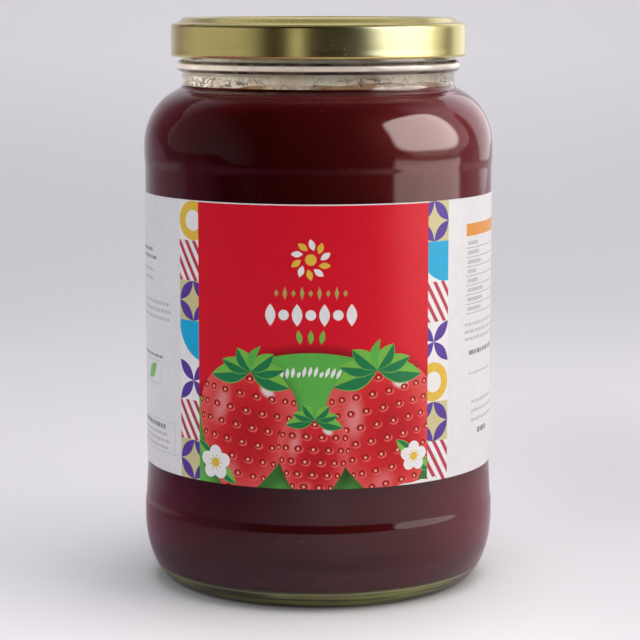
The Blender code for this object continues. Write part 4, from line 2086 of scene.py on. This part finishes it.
@dataclass(frozen=True)
class Softbox:
    """Rectangular soft lamp, with one brightness for matt surfaces and one for glossy ones."""

    name: str
    place: Vector
    aim: Vector
    size: Point
    glow: float
    shine: float
    colour: Colour
    only: tuple[Object, ...] = ()
    without: tuple[Object, ...] = ()
    step: float = 4.0 * MM
    fade_from: float = 0.82

    def build(self) -> None:
        """Add a lamp for each brightness that isn't zero, for some pieces only if any are given."""
        for part, radiance in (("glow", self.glow), ("shine", self.shine)):
            if radiance <= 0:
                continue
            lamp = bpy.data.lights.new(f"{self.name}_{part}", "AREA")
            lamp.shape = "RECTANGLE"
            lamp.size, lamp.size_y = self.size
            lamp.energy = radiance * pi * self.size[0] * self.size[1]
            lamp.color = self.colour
            holder = bpy.data.objects.new(lamp.name, lamp)
            nearer = self.step if part == "shine" else 0.0
            holder.location = self.place + (self.aim - self.place).normalized() * nearer
            holder.rotation_mode = "QUATERNION"
            holder.rotation_quaternion = (self.place - self.aim).to_track_quat("Z", "Y")
            holder.visible_camera = False
            holder.visible_diffuse = part == "glow"
            holder.visible_glossy = part == "shine"
            holder.visible_transmission = part == "shine"
            bpy.context.scene.collection.objects.link(holder)
            if part == "shine":
                self.soften(lamp)
            if self.only or self.without:
                self.choose_pieces(holder)

    def choose_pieces(self, holder: Object) -> None:
        """Let a lamp light some pieces only, or all but some."""
        lit = bpy.data.collections.new(f"{self.name}_lights")
        for piece in self.only + self.without:
            lit.objects.link(piece)
        if self.without:
            for linked in lit.collection_objects:
                linked.light_linking.link_state = "EXCLUDE"
        holder.light_linking.receiver_collection = lit

    def soften(self, lamp: bpy.types.Light) -> None:
        """Let a lamp fade towards its edges and round off its corners, as a diffuser does."""
        lamp.use_nodes = True
        writer = TreeWriter(lamp.node_tree)
        across = writer.axes(writer.add("ShaderNodeNewGeometry").outputs["Parametric"])
        powers = []
        for share in (across[0], across[1]):
            off = writer.product(writer.math("SUBTRACT", share, 0.5), 2.0)
            powers.append(writer.math("POWER", writer.math("ABSOLUTE", off), 4.0))
        away = writer.math("POWER", writer.math("ADD", powers[0], powers[1]), 0.25)
        strength = lamp.node_tree.nodes["Emission"].inputs["Strength"]
        writer.feed(strength, writer.spread(away, self.fade_from, 1.0, 1.0, 0.0))


@dataclass
class Studio:
    """Pale paper sweep, soft lamps and the camera of the photograph."""

    camera_place: tuple[float, float, float] = (0.0006, -0.795, 0.2033)
    camera_pitch: float = radians(8.06)
    focal_pixels: float = 2270.0
    image_pixels: float = 640.0
    sensor: float = 36.0
    floor_front: float = -1.0
    floor_back: float = 1.35
    sweep_height: float = 1.6
    sweep_round: float = 0.7
    half_width: float = 2.6

    def build_floor(self, finish: Material) -> Object:
        """Make the floor that curves up into the backdrop.

        Args:
            finish: Material of the paper.

        Returns:
            The floor, which isn't part of the jar.
        """
        flat_end = self.floor_back - self.sweep_round
        profile = [(y, 0.0) for y in (self.floor_front, -0.4, 0.3, flat_end)]
        for step in range(1, 17):
            turn = pi / 2 * step / 16
            y = self.floor_back - self.sweep_round * (1 - sin(turn))
            profile.append((y, self.sweep_round * (1 - cos(turn))))
        profile.append((self.floor_back, self.sweep_height))
        verts = []
        faces = []
        for y, z in profile:
            verts += [(-self.half_width, y, z), (self.half_width, y, z)]
        for row in range(len(profile) - 1):
            start = 2 * row
            faces.append((start, start + 1, start + 3, start + 2))
        mesh = bpy.data.meshes.new("paper_sweep")
        mesh.from_pydata(verts, [], faces)
        mesh.shade_smooth()
        mesh.materials.append(finish)
        sweep = bpy.data.objects.new("paper_sweep", mesh)
        bpy.context.scene.collection.objects.link(sweep)
        return sweep

    def build_lamps(self, lid: Object, neck: list[Object]) -> None:
        """Add the lamps.

        Args:
            lid: The lid, which has some softer lamps of its own.
            neck: Pieces in the neck, which one lamp lights alone, as daylight through the headspace does.
        """
        warm = (1.0, 0.92, 0.87)
        cool = (0.985, 0.975, 1.0)
        pale = (1.0, 1.13, 1.95)
        on_lid = (lid,)
        jar = Vector((0.0, 0.0, 0.10))
        top = Vector((0.0, 0.0, 0.19))
        key = Vector(polar(0.62, radians(-15), 0.475))
        lid_key = Vector(polar(0.62, radians(-22), 0.43))
        foot = Vector((key.x, key.y, 0.067))
        ahead, lid_ahead, foot_ahead = (Vector((0.0, 0.0, lamp.z)) for lamp in (key, lid_key, foot))
        rear, rear_size = Vector((0.60, 0.78, 0.42)), (0.74, 0.88)
        side, above = Vector((-1.0, -0.07, 0.22)), Vector((0.0, 0.1, 1.1))
        front = Vector((-0.27, -0.95, 0.2))
        through = Vector((-0.85, -0.40, 0.185))
        backdrop = Vector((0.3, self.floor_back, 0.25))
        lamps = (
            Softbox("key_softbox", key, ahead, (0.68, 0.74), 2.2, 7.0, warm, without=on_lid),
            Softbox("key_on_lid", lid_key, lid_ahead, (0.84, 0.74), 0.0, 2.0, pale, on_lid, fade_from=0.6),
            Softbox("key_foot", foot, foot_ahead, (0.68, 0.15), 0.0, 2.3, warm),
            Softbox("overhead_softbox", Vector((0.1, 0.0, 1.35)), jar, (1.2, 1.0), 3.75, 0.0, cool),
            Softbox("rear_top_strip", Vector((0.05, 1.05, 1.15)), jar, (0.7, 0.4), 0.0, 0.4, cool),
            Softbox("left_fill", Vector((-1.5, 0.3, 0.7)), jar, (1.4, 1.2), 1.2, 0.0, cool),
            Softbox("rear_right_fill", rear, jar, rear_size, 0.1, 0.95, cool, without=on_lid),
            Softbox("rear_on_lid", rear, jar, rear_size, 0.0, 0.72, cool, on_lid),
            Softbox("front_fill", Vector((-0.4, -1.7, 1.3)), jar, (1.4, 1.0), 2.2, 0.0, cool),
            Softbox("lid_side", side, top, (2.2, 0.7), 0.0, 0.35, cool, on_lid, fade_from=0.55),
            Softbox("lid_glint", front, top, (0.17, 0.5), 0.0, 0.82, cool, on_lid),
            Softbox("above_lid", above, top, (2.2, 1.8), 0.0, 0.27, cool, on_lid, fade_from=0.5),
            Softbox("neck_light", through, top, (0.6, 0.5), 10.0, 0.0, warm, tuple(neck)),
            Softbox("backdrop_fill", Vector((0.45, 0.3, 1.0)), backdrop, (1.2, 0.4), 1.5, 0.0, cool),
        )
        for lamp in lamps:
            lamp.build()

    def build_world(self) -> None:
        """Dim room in front of the jar, paler at its sides and behind it."""
        world = bpy.data.worlds.new("studio_room")
        bpy.context.scene.world = world
        world.use_nodes = True
        writer = TreeWriter(world.node_tree)
        backdrop = world.node_tree.nodes["Background"]
        x, y, z = writer.axes(writer.add("ShaderNodeTexCoord").outputs["Generated"])
        behind = writer.product(writer.spread(y, 0.15, 0.80), 0.62)
        leftwards = writer.product(writer.spread(x, -0.55, -0.95), writer.spread(z, 0.02, 0.25, 0.17, 0.13))
        rightwards = writer.product(writer.spread(x, 0.40, 0.75), 0.85, writer.spread(y, -0.10, 0.25))
        bright = writer.math("MAXIMUM", writer.math("MAXIMUM", behind, leftwards), rightwards)
        bright = writer.math("MAXIMUM", bright, 0.012)
        room = writer.blend(bright, BLACK, (1.0, 0.985, 1.02))
        seen = writer.add("ShaderNodeLightPath").outputs["Is Camera Ray"]
        pale = (0.62, 0.61, 0.63)
        writer.feed(backdrop.inputs["Color"], writer.blend(seen, room, pale))

    def build_camera(self) -> None:
        """Add the camera at the photograph's height, distance and angle."""
        data = bpy.data.cameras.new("photo_camera")
        data.sensor_width = self.sensor
        data.lens = self.focal_pixels / self.image_pixels * self.sensor
        camera = bpy.data.objects.new("photo_camera", data)
        camera.location = self.camera_place
        camera.rotation_euler = (pi / 2 - self.camera_pitch, 0.0, 0.0)
        bpy.context.scene.collection.objects.link(camera)
        bpy.context.scene.camera = camera

    def build(self, lid: Object, neck: list[Object]) -> None:
        """Set up floor, lamps, room, camera and a plain colour transform.

        Args:
            lid: The lid, which has some softer lamps of its own.
            neck: Pieces in the neck, which one lamp lights alone.
        """
        self.build_floor(FloorFinish().make())
        self.build_lamps(lid, neck)
        self.build_world()
        self.build_camera()
        bpy.context.scene.view_settings.view_transform = "Standard"


def report_piece(piece: Object) -> None:
    """Log a finished piece and its number of faces."""
    LOG.info("%s: %d faces", piece.name, len(piece.data.polygons))


def main() -> None:
    """Build every piece in order."""
    logging.basicConfig(level=logging.INFO, format="%(message)s")
    strewn = ScatterTree()
    ring = RingTree()
    jar = GlassJar()
    report_piece(jar.build(GlassFinish().make()))
    report_piece(jar.build_base_band(ThickBaseFinish().make()))
    neck = [jar.build_bead_shade(BeadShadeFinish().make())]
    filling = Filling(jar)
    jam = JamFinish()
    report_piece(filling.build_jam(jam.make(False), jam.make(True)))
    report_piece(filling.build_pips(strewn, SpeckFinish().make()))
    neck.append(filling.build_film(FilmFinish().make()))
    neck.append(filling.build_residue(ResidueFinish().make()))
    for piece in neck:
        report_piece(piece)
    lid, lugs = TwistLid().build(ring, LidFinish().make())
    report_piece(lid)
    report_piece(lugs)
    label = PrintedLabel(jar)
    report_piece(label.build(PaperFinish().make(label.patches())))
    Studio().build(lid, neck)


if __name__ == "__main__":
    main()
